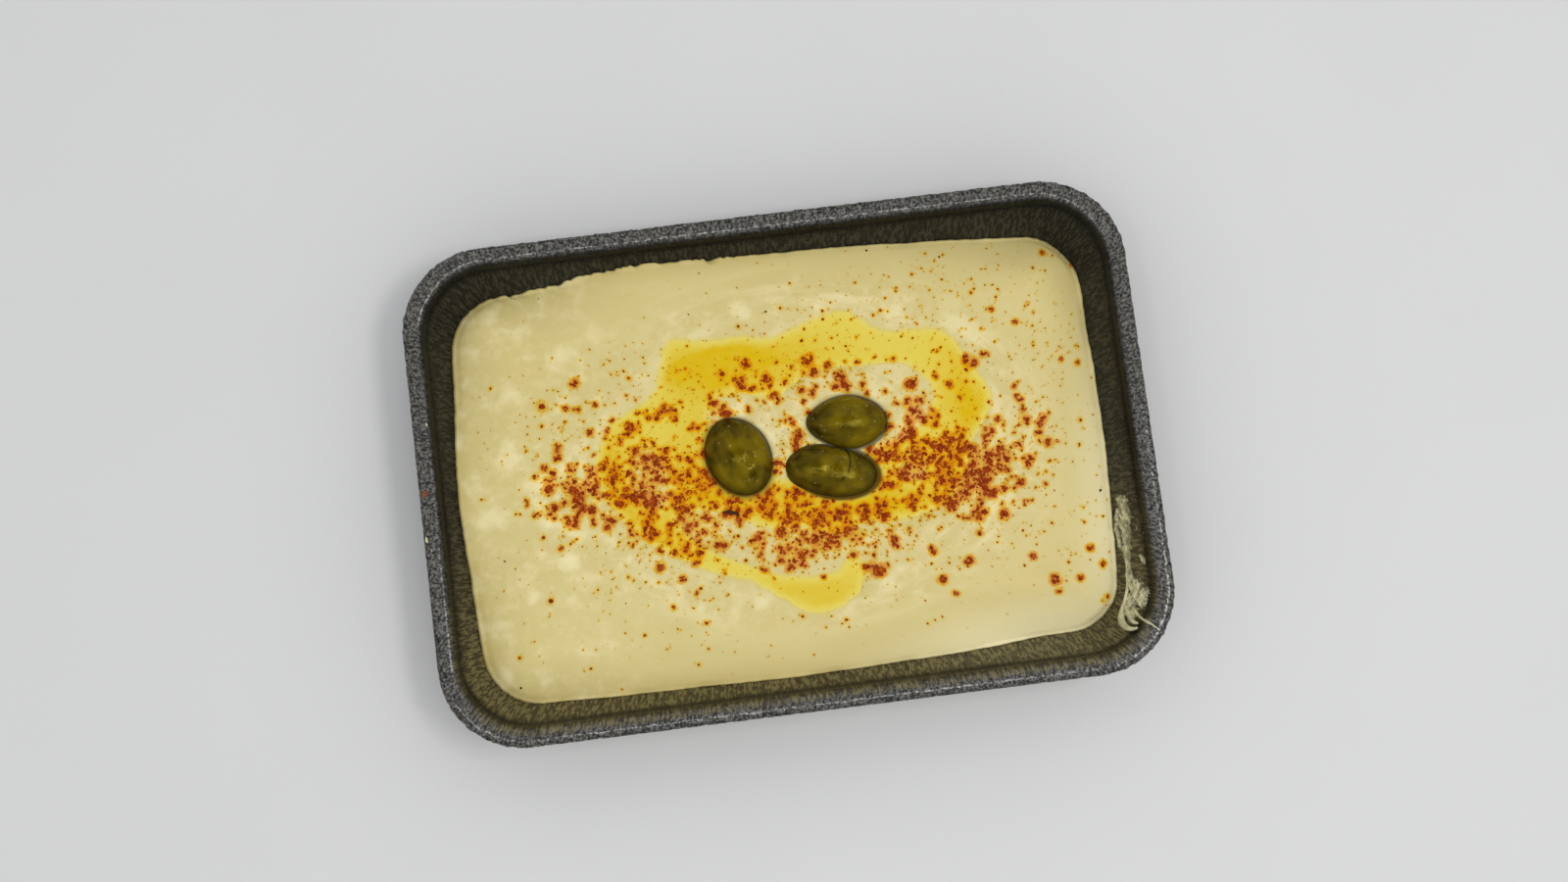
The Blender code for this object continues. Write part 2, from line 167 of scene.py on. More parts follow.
CLUMPS = (
    (22.7, -34.7, 1.9), (38.9, 18.3, 1.7), (73.1, -43.3, 1.4), (40.9, -39.3, 1.3), (49.1, -35, 1.3),
    (58.4, 22.4, 1.2), (67.7, -36.1, 1.1), (80.6, -43.6, 1.0), (60.9, -22.9, 1.4), (-62.3, -0.7, 1.5),
    (-69.4, 0.7, 1.4), (-57.7, -6.7, 1.4), (-68.3, -5, 1.2), (-64.7, -9.6, 1.1), (-58.7, 30.7, 1.2),
    (-62, 23.6, 0.9), (-53.4, 23.6, 0.9), (-55.9, 15.7, 1.0), (84.1, 20.7, 0.8), (89, 19.3, 0.8),
    (65.6, 37.6, 0.8), (83.4, 53.4, 0.9), (-2.3, -30.7, 1.2), (19.6, 20.7, 1.1), (-34, -30, 1.0),
    (63, 5, 1.1), (67, -14, 1.2), (70, -9, 1.1), (59, -16, 1.2), (46.3, -17.9, 1.5), (75, 2, 1.0),
    (-66, 9.5, 1.2), (-70, 7, 1.1), (74, -47, 0.8), (44, -44, 0.9), (72, 33, 0.8), (-40, -26, 1.2),
    (-2.7, 25.3, 1.4), (50.4, 17, 1.1), (-38, 18, 1.0), (-30.5, 16.5, 1.0), (-49.5, -6, 1.2),
    (6.5, -18.8, 1.5), (-8.5, -12, 1.2), (14, -16.5, 1.1), (45, -1, 1.2), (-18.7, 20, 1.2),
    (84.8, -35.5, 1.0), (88.3, -40.4, 1.0),
    (-1.1, 20.3, 1.3), (11.3, 25.7, 1.4), (15.6, 27.1, 1.2), (37.5, 3, 1.1), (47, -9, 1.1),
)
PEPPER = (
    (52.7, 55.6, 0.45), (-84.4, -18.6, 0.35), (-84.0, -55.3, 0.4), (-0.4, 45, 0.35), (31.5, 60, 0.35),
    (90.5, -19, 0.45), (-18.5, 58.8, 0.3), (-23, 47, 0.25), (-66.5, 57.8, 0.25), (-51, -35, 0.25),
)
SPLINTER = ((-19.8, -12.1), (-15.4, -13.6), 0.5)

# Smears on the right wall: start, end and half width of each stroke, as millimetres round the
# rim and height; then strands as place round the rim, height, how far they stand out, and radius
FILM_STROKES = (
    ((600.5, 15.0), (600, 18.2), 0.9), ((599.5, 16.8), (594.5, 17.4), 1.8), ((597, 14.6), (592, 13.2), 0.9),
    ((594.5, 16.2), (589, 16.2), 1.9), ((592, 13.0), (586, 13.4), 0.8), ((589, 16.0), (583, 15.6), 1.4),
    ((583, 15.6), (577, 15.4), 0.9), ((582.5, 21.4), (580.8, 22.2), 0.6),
)
BODY_STROKES = (
    ((577, 15.6), (571, 16.4), 1.3), ((573, 17.8), (567, 18.0), 2.2), ((570.5, 21.3), (566, 20.8), 1.5),
    ((568, 16.5), (561, 17.0), 1.9), ((563, 19.5), (559, 19.5), 1.3),
)
CURL = (
    (583, 15.2, 0.0, 0.25), (576, 15.2, 0.2, 0.4), (570, 15.2, 0.4, 0.5), (565, 15.4, 0.5, 0.65),
    (561, 16.0, 0.6, 0.85), (557.5, 17.4, 0.8, 1.1), (555.3, 19.6, 0.8, 1.15), (554.6, 22.0, 0.6, 0.9),
    (555.3, 24.2, 0.7, 0.6), (556.8, 25.2, 0.6, 0.3),
)
HOOK = (
    (563, 16.5, 0.6, 0.6), (561, 18.6, 0.7, 0.8), (559, 20.6, 0.7, 0.8), (557.6, 22.8, 0.6, 0.65),
    (558.4, 24.0, 0.5, 0.35),
)
SPUR = (
    (562.8, 19.6, 0.3, 0.75), (561.6, 21.6, 0.5, 0.55), (560.8, 23.6, 0.7, 0.42), (560.3, 25.2, 0.2, 0.32),
    (560, 25.7, -2.2, 0.22), (559.8, 25.75, -4.4, 0.12),
)

# Marks on the rim
RIM_DROPS = ((-105.0, -10.4, 0.75), (-103.9, -13.9, 0.6), (-101.7, 22.8, 0.4))  # place and radius
RIM_MARK = (-0.1043, 0.0028, 0.0258)  # in metres
SPUR_END = ((95.4, -57.7), (99.6, -61.9))

# Camera, fitted to the tray's outline, with its place in metres
CAMERA_PLACE = (-0.01808, -0.07841, 0.67034)
CAMERA_RIGHT = (0.99216, -0.12442, 0.01159)
CAMERA_UP = (0.12185, 0.98384, 0.13122)
CAMERA_LENS = 51.8

# Softboxes: name, place and size in metres, power and colour
SOFTBOXES = (
    ("right softbox", (0.46, -0.12, 1.15), (0.40, 0.22), 3.8, (1.0, 0.99, 0.97)),
    ("middle softbox", (0.03, -0.19, 1.15), (0.44, 0.12), 1.6, (1.0, 1.0, 1.0)),
    ("left softbox", (-0.34, -0.17, 1.15), (0.24, 0.12), 0.7, (1.0, 1.0, 1.0)),
)

# Colours, linear
PASTE = (0.585, 0.488, 0.200)
PASTE_PALE = (0.800, 0.715, 0.410)
PASTE_DEEP = (0.530, 0.425, 0.150)
OIL_SHALLOW = (0.680, 0.560, 0.090)
OIL_DEEP = (0.625, 0.415, 0.003)
STAIN = (0.930, 0.480, 0.300)
STAIN_THIN = (1.000, 0.800, 0.080)
SPICE_DARK = (0.170, 0.012, 0.001)
SPICE = (0.310, 0.036, 0.001)
SPICE_LIGHT = (0.480, 0.130, 0.006)
OLIVE_DARK = (0.016, 0.010, 0.0004)
OLIVE = (0.068, 0.043, 0.0004)
OLIVE_LIGHT = (0.190, 0.130, 0.002)
FOAM_DARK = (0.0020, 0.0020, 0.0015)
FOAM_MID = (0.030, 0.027, 0.018)
FOAM_GLINT = (0.330, 0.320, 0.295)
OIL_SHORE = (0.660, 0.550, 0.140)
OIL_CLOUD = (0.720, 0.580, 0.120)
OIL_STAIN = (0.900, 0.520, 0.500)
OIL_BY_OLIVE = (0.160, 0.135, 0.020)
# Painted contact shadow round each olive, together with the dark oil of the meniscus against it
OIL_SHADE_RING = (0.065, 0.030, 0.001)
PASTE_SHADE_RING = (0.070, 0.034, 0.001)
OLIVE_DOTS = (0.300, 0.290, 0.120)
# Painted shade towards each olive's foot
OLIVE_FOOT_SHADE = (0.016, 0.013, 0.003)
# Painted highlight along the right olive's lower front edge
OLIVE_EDGE_HIGHLIGHT = (0.300, 0.290, 0.210)
OLIVE_SPLIT = (0.012, 0.010, 0.003)
FOAM_WALL = (0.026, 0.022, 0.012)
# Painted reflection of the paste on the front inner wall
FOAM_FRONT_REFLECTION = (0.160, 0.130, 0.050)
# Painted shade on the shoulder inside the rim
FOAM_SHOULDER_SHADE = (0.003, 0.003, 0.002)
FOAM_PITS = (0.006, 0.006, 0.005)
FOAM_STAIN = (0.200, 0.055, 0.015)
SMEAR_DARK = (0.360, 0.340, 0.190)
SMEAR_LIGHT = (0.580, 0.540, 0.320)
SMEAR_THIN = (0.120, 0.108, 0.058)
SMEAR_SPUR = (0.500, 0.470, 0.300)
PEPPER_DARK = (0.010, 0.006, 0.004)
PEPPER_LIGHT = (0.055, 0.022, 0.010)
STAGE = (0.600, 0.600, 0.602)


# Shape rules

def eased(t):
    t = np.clip(t, 0.0, 1.0)
    return t * t * (3 - 2 * t)


def drift_noise(x, y, scale, layer):
    """Smooth noise of about one unit, varying over scale millimetres."""
    points = np.stack([np.ravel(x), np.ravel(y)], 1) / scale
    values = [noise.noise((px, py, layer)) for px, py in points.tolist()]
    return np.reshape(values, np.shape(x))


def wall_inset(height):
    return WALL_TOP_INSET + (WALL_TOP - height) * math.tan(WALL_SLOPE)


def outline_point(share, inset):
    """Points of the tray's plan at a share of the way round, set in from its outer edge."""
    first = CORNER_RADIUS * math.pi / 2
    long_side = TRAY_LENGTH - 2 * CORNER_RADIUS
    short_side = TRAY_WIDTH - 2 * CORNER_RADIUS
    lengths = np.array([first, long_side, first, short_side] * 2)
    starts = np.concatenate([[0.0], np.cumsum(lengths)])
    along = (np.asarray(share) % 1.0) * starts[-1]
    stretch = np.clip(np.searchsorted(starts, along, side="right") - 1, 0, 7)
    t = (along - starts[stretch]) / lengths[stretch]
    corner = stretch // 2
    straight = stretch % 2
    radius = CORNER_RADIUS - CORNER_TIGHTENING * inset
    reach_x = TRAY_LENGTH / 2 - inset - radius
    reach_y = TRAY_WIDTH / 2 - inset - radius
    sides_x = np.array([1, -1, -1, 1, 1])
    sides_y = np.array([1, 1, -1, -1, 1])
    w = straight * t
    centre_x = (1 - w) * sides_x[corner] + w * sides_x[corner + 1]
    centre_y = (1 - w) * sides_y[corner] + w * sides_y[corner + 1]
    angle = math.pi / 2 * (corner + np.where(straight == 1, 1.0, t))
    x = centre_x * reach_x + radius * np.cos(angle)
    y = centre_y * reach_y + radius * np.sin(angle)
    return x, y


def plan_inset(x, y):
    """How far inside the tray's outer edge points of the plan lie."""
    across = np.abs(x) - (TRAY_LENGTH / 2 - CORNER_RADIUS)
    along = np.abs(y) - (TRAY_WIDTH / 2 - CORNER_RADIUS)
    beyond = np.hypot(np.maximum(across, 0), np.maximum(along, 0))
    return CORNER_RADIUS - beyond - np.minimum(np.maximum(across, along), 0)


def edge_table(step=0.5, blur=4.0):
    """Edge levels for every bearing, eased between the given ones and then softened."""
    closed = np.array((*EDGE_LEVELS, (EDGE_LEVELS[0][0] + 360, EDGE_LEVELS[0][1])), float)
    bearings = np.arange(0, 360, step)
    i = np.clip(np.searchsorted(closed[:, 0], bearings, side="right") - 1, 0, len(closed) - 2)
    t = (bearings - closed[i, 0]) / (closed[i + 1, 0] - closed[i, 0])
    levels = closed[i, 1] + (closed[i + 1, 1] - closed[i, 1]) * eased(t)
    away = np.arange(-12, 12 + step, step)
    weights = np.exp(-(away / blur) ** 2 / 2)
    rolled = [np.roll(levels, int(round(shift / step))) * w for shift, w in zip(away, weights)]
    return bearings, np.sum(rolled, 0) / weights.sum()


EDGE_BEARINGS, EDGE_SMOOTH = edge_table()


def edge_level(x, y):
    """Height at which the hummus meets the wall, in the direction of each point."""
    bearing = np.degrees(np.arctan2(2 * y / TRAY_WIDTH, 2 * x / TRAY_LENGTH)) % 360
    return np.interp(bearing, EDGE_BEARINGS, EDGE_SMOOTH, period=360)


def smooth_loop(points, steps=4):
    """A closed smooth curve through the points of a plan outline."""
    p = np.array(points, float)
    a, b, c, d = (np.roll(p, shift, 0) for shift in (1, 0, -1, -2))
    spans = []
    for step in range(steps):
        t = step / steps
        bend = (2 * a - 5 * b + 4 * c - d) * t * t + (3 * b - a - 3 * c + d) * t ** 3
        spans.append(b + ((c - a) * t + bend) / 2)
    return np.stack(spans, 1).reshape(-1, 2)


OIL_LOOPS = [smooth_loop(points) for points in (OIL_OUTLINE, *OIL_ISLANDS)]


def shore_distance(x, y):
    """Distance to the oil's shore, positive on the paste and negative in the oil."""
    nearest = np.full(np.shape(x), 1e9)
    crossings = np.zeros(np.shape(x), int)
    for loop in OIL_LOOPS:
        for (px, py), (qx, qy) in zip(loop, np.roll(loop, -1, 0)):
            dx, dy = qx - px, qy - py
            t = np.clip(((x - px) * dx + (y - py) * dy) / (dx * dx + dy * dy), 0, 1)
            nearest = np.minimum(nearest, np.hypot(x - px - t * dx, y - py - t * dy))
            level_with = (py > y) != (qy > y)
            slope = dx / dy if dy else 0.0
            crossings += level_with & (x < px + (y - py) * slope)
    waver = 0.55 * drift_noise(x, y, 3.2, 4.0) + 0.3 * drift_noise(x, y, 1.3, 5.0)
    return np.where(crossings % 2 == 1, -nearest, nearest) + waver


def olive_distance(x, y, names=tuple(OLIVES)):
    """Distance in the plan from points to the nearest olive's outline, about."""
    nearest = np.full(np.shape(x), 1e9)
    for name in names:
        centre, length, width, _, bearing, _, tip = OLIVES[name]
        turn = math.radians(bearing)
        dx, dy = x - centre[0], y - centre[1]
        along = (dx * math.cos(turn) + dy * math.sin(turn)) / (length / 2)
        across = (dy * math.cos(turn) - dx * math.sin(turn)) / (width / 2)
        across = across / (1 - tip * eased(-along))
        share = np.hypot(along, across)
        nearest = np.minimum(nearest, (share - 0.96) * width / 2)
    return nearest


def open_height(x, y):
    """The paste's surface without the pool: a shallow swirl that rolls down to the wall."""
    edge = edge_level(x, y)
    roll = eased(0.5 + 0.5 * (plan_inset(x, y) - wall_inset(edge)) / EDGE_ROLL) * 2 - 1
    dx = (x - SWIRL_CENTRE[0]) * TRAY_WIDTH / TRAY_LENGTH
    dy = y - SWIRL_CENTRE[1]
    turn = np.arctan2(dy, dx) / (2 * math.pi)
    swirl = np.sin(2 * math.pi * (np.hypot(dx, dy) / SWIRL_PITCH + turn))
    strokes = 0.45 * drift_noise(x * 0.6, y, 7.0, 2.0) + 0.2 * drift_noise(x, y, 2.6, 3.0)
    relief = SWIRL_RELIEF * (0.6 * swirl + drift_noise(x / 26, y / 19, 1.0, 1.7) + strokes)
    inner = HUMMUS_LEVEL + relief * np.clip(roll * 2, 0, 1)
    return edge + (inner - edge) * np.maximum(roll, 0)


def hummus_height(x, y, shore, olives):
    """The paste's surface, sunk under the oil and a little where an olive presses in."""
    bank = OIL_LEVEL + 0.55 * (1 - np.exp(-np.maximum(shore, 0) / 1.0))
    bed = OIL_LEVEL - OIL_DEPTH * (1 - np.exp(np.minimum(shore, 0) / 1.6))
    near = np.where(shore > 0, bank, bed)
    share = eased(np.maximum(shore, 0) / 6.0)
    height = near + (open_height(x, y) - near) * share
    return height - 0.7 * np.exp(-np.maximum(olives, 0) ** 2 / 0.5)


def oil_depth(x, y, shore):
    """How deep a yellow the oil shows, from 0 at a thin shore to 1."""
    total = 0.12 + 0 * x
    for (cx, cy), (sx, sy), depth in DEEP_PLACES:
        total += depth * np.exp(-(((x - cx) / sx) ** 2 + ((y - cy) / sy) ** 2) / 2)
    return np.minimum(total, 1) * eased(-shore / 3.0)


def oil_height(olives, shore):
    """The oil's level, climbing a little up the olives and rounded at its shore."""
    climb = 0.12 * np.exp(-np.maximum(olives, 0) / 0.45)
    return OIL_LEVEL + climb - 0.05 * np.exp(-np.abs(shore) / 0.5)


# Meshes

def points_of(piece):
    values = np.empty(len(piece.data.vertices) * 3)
    piece.data.vertices.foreach_get("co", values)
    return values.reshape(-1, 3)


def set_points(piece, points):
    piece.data.vertices.foreach_set("co", np.ravel(points))
    piece.data.update()


def set_field(piece, name, values, kind="FLOAT"):
    """Stores a value at each vertex, for the piece's material to read."""
    layer = piece.data.attributes.new(name, kind, "POINT")
    layer.data.foreach_set("vector" if kind == "FLOAT_VECTOR" else "value", np.ravel(values))


def in_edit_mode(piece, *steps):
    """Runs edit-mode steps on the whole of one piece."""
    bpy.ops.object.select_all(action="DESELECT")
    bpy.context.view_layer.objects.active = piece
    piece.select_set(True)
    bpy.ops.object.mode_set(mode="EDIT")
    bpy.ops.mesh.select_all(action="SELECT")
    for step in steps:
        step()
    bpy.ops.object.mode_set(mode="OBJECT")


def merge_and_turn_out():
    bpy.ops.mesh.remove_doubles(threshold=2e-7)
    bpy.ops.mesh.normals_make_consistent(inside=False)


def finish_piece(piece, material, slot, *nodes):
    """Smooth shading, material, and the piece's place in the frame."""
    piece.data.materials.clear()
    piece.data.materials.append(material)
    piece.data.shade_smooth()
    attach(piece, "root")
    if nodes:
        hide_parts(*nodes)


def sheet_of_quads(name, columns, rows):
    """A unit grid to be bent, with each vertex's share round and across."""
    bpy.ops.object.select_all(action="DESELECT")
    bpy.ops.mesh.primitive_grid_add(x_subdivisions=columns, y_subdivisions=rows, size=1.0)
    piece = bpy.context.object
    piece.name = name
    shares = points_of(piece) + 0.5
    return piece, shares[:, 0], shares[:, 1]


def push_out(piece, depth):
    """Moves vertices along their normals by a depth in millimetres."""
    normals = np.empty(len(piece.data.vertices) * 3)
    piece.data.vertices.foreach_get("normal", normals)
    set_points(piece, points_of(piece) + normals.reshape(-1, 3) * np.reshape(depth, (-1, 1)) * MM)


def keep_in_box(piece, slack=0.00002):
    low, high = (np.array(corner) for corner in CAD_BOX)
    set_points(piece, np.clip(points_of(piece), low + slack, high - slack))


def along_section(section, share):
    """Inset and height at a share of the way along a section's length."""
    path = np.array(section)
    lengths = np.concatenate([[0.0], np.cumsum(np.hypot(*np.diff(path, axis=0).T))])
    at = np.asarray(share) * lengths[-1]
    return np.interp(at, lengths, path[:, 0]), np.interp(at, lengths, path[:, 1]), at


def arc(centre, radius, start, end, steps):
    angles = np.radians(np.linspace(start, end, steps + 1))
    return [(centre[0] + radius * math.cos(a), centre[1] + radius * math.sin(a)) for a in angles]


def tray_section():
    """From the foot up the outside, over the rim and down to the inner floor."""
    outer = FOAM / math.cos(WALL_SLOPE)
    neck = TRAY_DEPTH - 2 * RIM_NOSE - 1.4
    return [
        (FOOT_INSET, 0.0), (FOOT_INSET - 0.9, 0.2), (FOOT_INSET - 1.7, 0.8), (FOOT_INSET - 2.15, 1.5),
        (wall_inset(2.4) - outer, 2.4), (wall_inset(neck) - outer, neck),
        (RIM_NOSE + 1.1, TRAY_DEPTH - 2 * RIM_NOSE - 0.5),
        (RIM_NOSE + 0.6, TRAY_DEPTH - 2 * RIM_NOSE - 0.1),
        *arc((RIM_NOSE, TRAY_DEPTH - RIM_NOSE), RIM_NOSE, 270, 90, 12),
        (2.7, TRAY_DEPTH), (3.2, 25.96), (3.7, 25.88), (4.2, 25.76), (4.65, 25.6), (5.05, 25.38),
        (5.4, 25.08), (5.7, 24.7), (5.95, 24.3), (6.25, 23.9), (6.6, 23.4), (7.0, 22.8),
        (wall_inset(6.4), 6.4), (wall_inset(6.4) + 0.8, 5.1), (wall_inset(6.4) + 1.9, 4.3),
        (wall_inset(6.4) + 3.2, FLOOR),
    ]


def build_tray():
    piece, share, across = sheet_of_quads("tray_foam", TRAY_COLUMNS, TRAY_ROWS)
    inset, height, at = along_section(tray_section(), across)
    x, y = outline_point(share, inset)
    set_points(piece, np.stack([x, y, height], 1) * MM)
    reach = (TRAY_LENGTH + TRAY_WIDTH) / math.pi
    turn = 2 * math.pi * share
    set_field(piece, "foam", np.stack([reach * np.cos(turn), reach * np.sin(turn), at], 1), "FLOAT_VECTOR")
    # The rim mask sets where the material paints glints as painted highlights; it is weaker on the inner
    # side of the front rim, which is kept darker.
    front = 0.75 * eased((-y - 58) / 8) * eased((inset - 2.8) / 1.0)
    set_field(piece, "rim", eased((height - 22.5) / 2.0) * eased((5.4 - inset) / 1.2) * (1 - front))
    # Where the foam turns down inside the rim; the material paints this band as shade and keeps it
    # smoother.
    set_field(piece, "shoulder", np.exp(-(((inset - 6.3) / 1.1) ** 2)) * (height > 20))
    set_field(piece, "polish", np.exp(-(((inset - 2.9) / 2.0) ** 2)) * (height > 24))
    in_edit_mode(piece, merge_and_turn_out, close_ends, merge_and_turn_out)
    spots = points_of(piece) / MM
    coarse = [noise.noise(p) for p in (spots / 1.7).tolist()]
    fine = [noise.noise(p) for p in (spots / 0.75 + 9).tolist()]
    inset = plan_inset(spots[:, 0], spots[:, 1])
    nose = eased((spots[:, 2] - 21.5) / 1.5) * eased((1.6 - inset) / 1.4)
    smooth = np.exp(-((inset - 5.6) / 1.4) ** 2) * (spots[:, 2] > 22)
    strength = FOAM_RELIEF * (0.6 + 1.8 * nose) * (1 - 0.75 * smooth)
    push_out(piece, strength * (0.7 * np.array(coarse) + 0.9 * np.array(fine)))
    keep_in_box(piece)
    finish_piece(piece, foam_material(), "tray", "tray")


def close_ends():
    """Fills the flat underside and the inner floor."""
    bpy.ops.mesh.select_all(action="DESELECT")
    bpy.ops.mesh.select_non_manifold(extend=False, use_wire=False, use_multi_face=False,
                                     use_non_contiguous=False, use_verts=False)
    bpy.ops.mesh.edge_face_add()
    bpy.ops.mesh.select_all(action="SELECT")


def hummus_edge(share):
    """The ragged line where the paste meets the wall: plan places and heights."""
    x, y = outline_point(share, 10.0)
    level = edge_level(x, y)
    crag = eased((y - 40) / 15) * eased((-2 - x) / 12) * eased((x + 90) / 18)
    ragged = drift_noise(x, y, 3.4, 7.0) * 1.5 + drift_noise(x, y, 1.5, 8.0) * 1.1
    quiet = drift_noise(x, y, 12.0, 9.0) * 0.5 + drift_noise(x, y, 2.2, 6.0) * 0.22
    level = level + quiet + crag * np.minimum(ragged, 0.5)
    x, y = outline_point(share, wall_inset(level) + 0.06)
    return x, y, level


def build_hummus():
    rows = HUMMUS_TOP_ROWS + HUMMUS_SIDE_ROWS + 1
    piece, share, across = sheet_of_quads("hummus_paste", HUMMUS_COLUMNS, rows)
    row = np.round(across * rows)
    edge_x, edge_y, edge_z = hummus_edge(share)
    out = np.clip(row / HUMMUS_TOP_ROWS, 0, 1)
    x = SKIN_CENTRE[0] + (edge_x - SKIN_CENTRE[0]) * out
    y = SKIN_CENTRE[1] + (edge_y - SKIN_CENTRE[1]) * out
    shore, olives = shore_distance(x, y), olive_distance(x, y)
    top = hummus_height(x, y, shore, olives)
    z = top + (edge_z - top) * eased((out - 0.975) / 0.025)
    down = np.clip((row - HUMMUS_TOP_ROWS) / HUMMUS_SIDE_ROWS, 0, 1)
    side_z = edge_z + (FLOOR + 0.4 - edge_z) * down
    side_inset = wall_inset(np.maximum(side_z, 5.6)) + 0.3 + 1.6 * eased((5.6 - side_z) / 1.2)
    side_x, side_y = outline_point(share, side_inset)
    below = row > HUMMUS_TOP_ROWS
    x, y, z = np.where(below, side_x, x), np.where(below, side_y, y), np.where(below, side_z, z)
    last = row > rows - 0.5
    x, y = np.where(last, 0.0, x), np.where(last, 0.0, y)
    set_points(piece, np.stack([x, y, z], 1) * MM)
    set_field(piece, "shore", np.where(below, 20.0, shore))
    set_field(piece, "olive", np.where(below, 20.0, olives))
    in_edit_mode(piece, merge_and_turn_out)
    spots = points_of(piece) / MM
    set_field(piece, "stain", stain_at(spots[:, 0], spots[:, 1]))
    set_field(piece, "spice", spice_at(spots[:, 0], spots[:, 1]))
    set_field(piece, "pale", pale_at(spots[:, 0], spots[:, 1]))
    set_field(piece, "strokes", eased((spots[:, 0] + 62) / 30))
    rim_near = plan_inset(spots[:, 0], spots[:, 1]) - wall_inset(edge_level(spots[:, 0], spots[:, 1]))
    # Painted shade: the paste within about 9 mm of the wall is painted deeper, more so towards the left.
    set_field(piece, "shade", (1 - eased(rim_near / 9)) * eased((45 - spots[:, 0]) / 60))
    # Painted light: the paste within about 16 mm of the wall is painted paler towards the front right,
    # where light falls on its rolled edge.
    toward = eased((0.75 * spots[:, 0] - 0.66 * spots[:, 1] - 40) / 50)
    set_field(piece, "lit", toward * (1 - eased(rim_near / 16)))
    finish_piece(piece, paste_material(), "hummus", "hummus")


def build_oil():
    low = np.min(OIL_LOOPS[0], 0) - 3
    high = np.max(OIL_LOOPS[0], 0) + 3
    columns, rows = np.round((high - low) / OIL_STEP).astype(int)
    piece, share, across = sheet_of_quads("oil_pool", int(columns), int(rows))
    x, y = low[0] + share * (high[0] - low[0]), low[1] + across * (high[1] - low[1])
    shore, olives = shore_distance(x, y), olive_distance(x, y)
    set_points(piece, np.stack([x, y, oil_height(olives, shore)], 1) * MM)
    set_field(piece, "shore", shore)
    set_field(piece, "olive", olives)
    set_field(piece, "depth", oil_depth(x, y, shore))
    set_field(piece, "left_olive", olive_distance(x, y, ("olive_left",)))
    set_field(piece, "stain", stain_at(x, y))
    set_field(piece, "spice", spice_at(x, y))
    bpy.context.view_layer.objects.active = piece
    bpy.ops.object.mode_set(mode="EDIT")
    bpy.ops.mesh.select_all(action="DESELECT")
    bpy.ops.object.mode_set(mode="OBJECT")
    piece.data.vertices.foreach_set("select", (shore > 1.0) | (olives < -2.5))
    bpy.ops.object.mode_set(mode="EDIT")
    bpy.ops.mesh.delete(type="VERT")
    bpy.ops.mesh.select_all(action="SELECT")
    bpy.ops.mesh.extrude_region_move(TRANSFORM_OT_translate={"value": (0, 0, -OIL_DEPTH * MM)})
    bpy.ops.mesh.select_all(action="SELECT")
    bpy.ops.mesh.normals_make_consistent(inside=False)
    bpy.ops.object.mode_set(mode="OBJECT")
    finish_piece(piece, oil_material(), "oil", "oil")


def olive_body(name, centre, length, width, height, bearing, taper, tip):
    """A dense olive: a sphere drawn out along X, tapered, turned to its bearing and placed."""
    bpy.ops.object.select_all(action="DESELECT")
    bpy.ops.mesh.primitive_uv_sphere_add(segments=120, ring_count=90, radius=1.0)
    piece = bpy.context.object
    piece.name = name
    p = points_of(piece)[:, (2, 0, 1)]
    narrowing = 1 - taper * p[:, 0] - tip * eased(-p[:, 0])
    local = p * np.array([length, width, height]) / 2
    local[:, 1] *= narrowing
    local[:, 2] *= narrowing
    lumps = np.array([noise.noise(q) for q in (local / 5.5 + bearing).tolist()])
    wrinkles = np.array([noise.noise(q) for q in (local * (0.35, 0.9, 0.9) + bearing).tolist()])
    local *= (1 + (0.45 * lumps + 0.12 * wrinkles) / 12)[:, None]
    turn = np.array(Matrix.Rotation(math.radians(bearing), 3, "Z"))
    set_points(piece, (local @ turn.T + np.array(centre)) * MM)
    return piece


def dent(piece, spot, radius, depth):
    """Presses a soft round dent into the top of a piece."""
    p = points_of(piece)
    away = np.hypot(p[:, 0] / MM - spot[0], p[:, 1] / MM - spot[1]) / radius
    p[:, 2] -= depth * MM * np.exp(-away ** 2) * (p[:, 2] > OLIVES["olive_left"][0][2] * MM)
    set_points(piece, p)


def build_olives():
    olives = {}
    for name, shape in OLIVES.items():
        olives[name] = olive_body(f"{name}_skin", *shape)
        for spot, radius, depth in DENTS[name]:
            dent(olives[name], spot, radius, depth)
    front = olives["olive_front"]
    lobe = olive_body("split lobe", *SPLIT_LOBE)
    join = front.modifiers.new("Join", "BOOLEAN")
    join.operation = "UNION"
    join.solver = "EXACT"
    join.object = lobe
    bpy.context.view_layer.objects.active = front
    bpy.ops.object.modifier_apply(modifier=join.name)
    bpy.data.objects.remove(lobe)
    for name, piece in olives.items():
        in_edit_mode(piece, merge_and_turn_out)
        finish_piece(piece, olive_material(name), name, name)


# Paprika

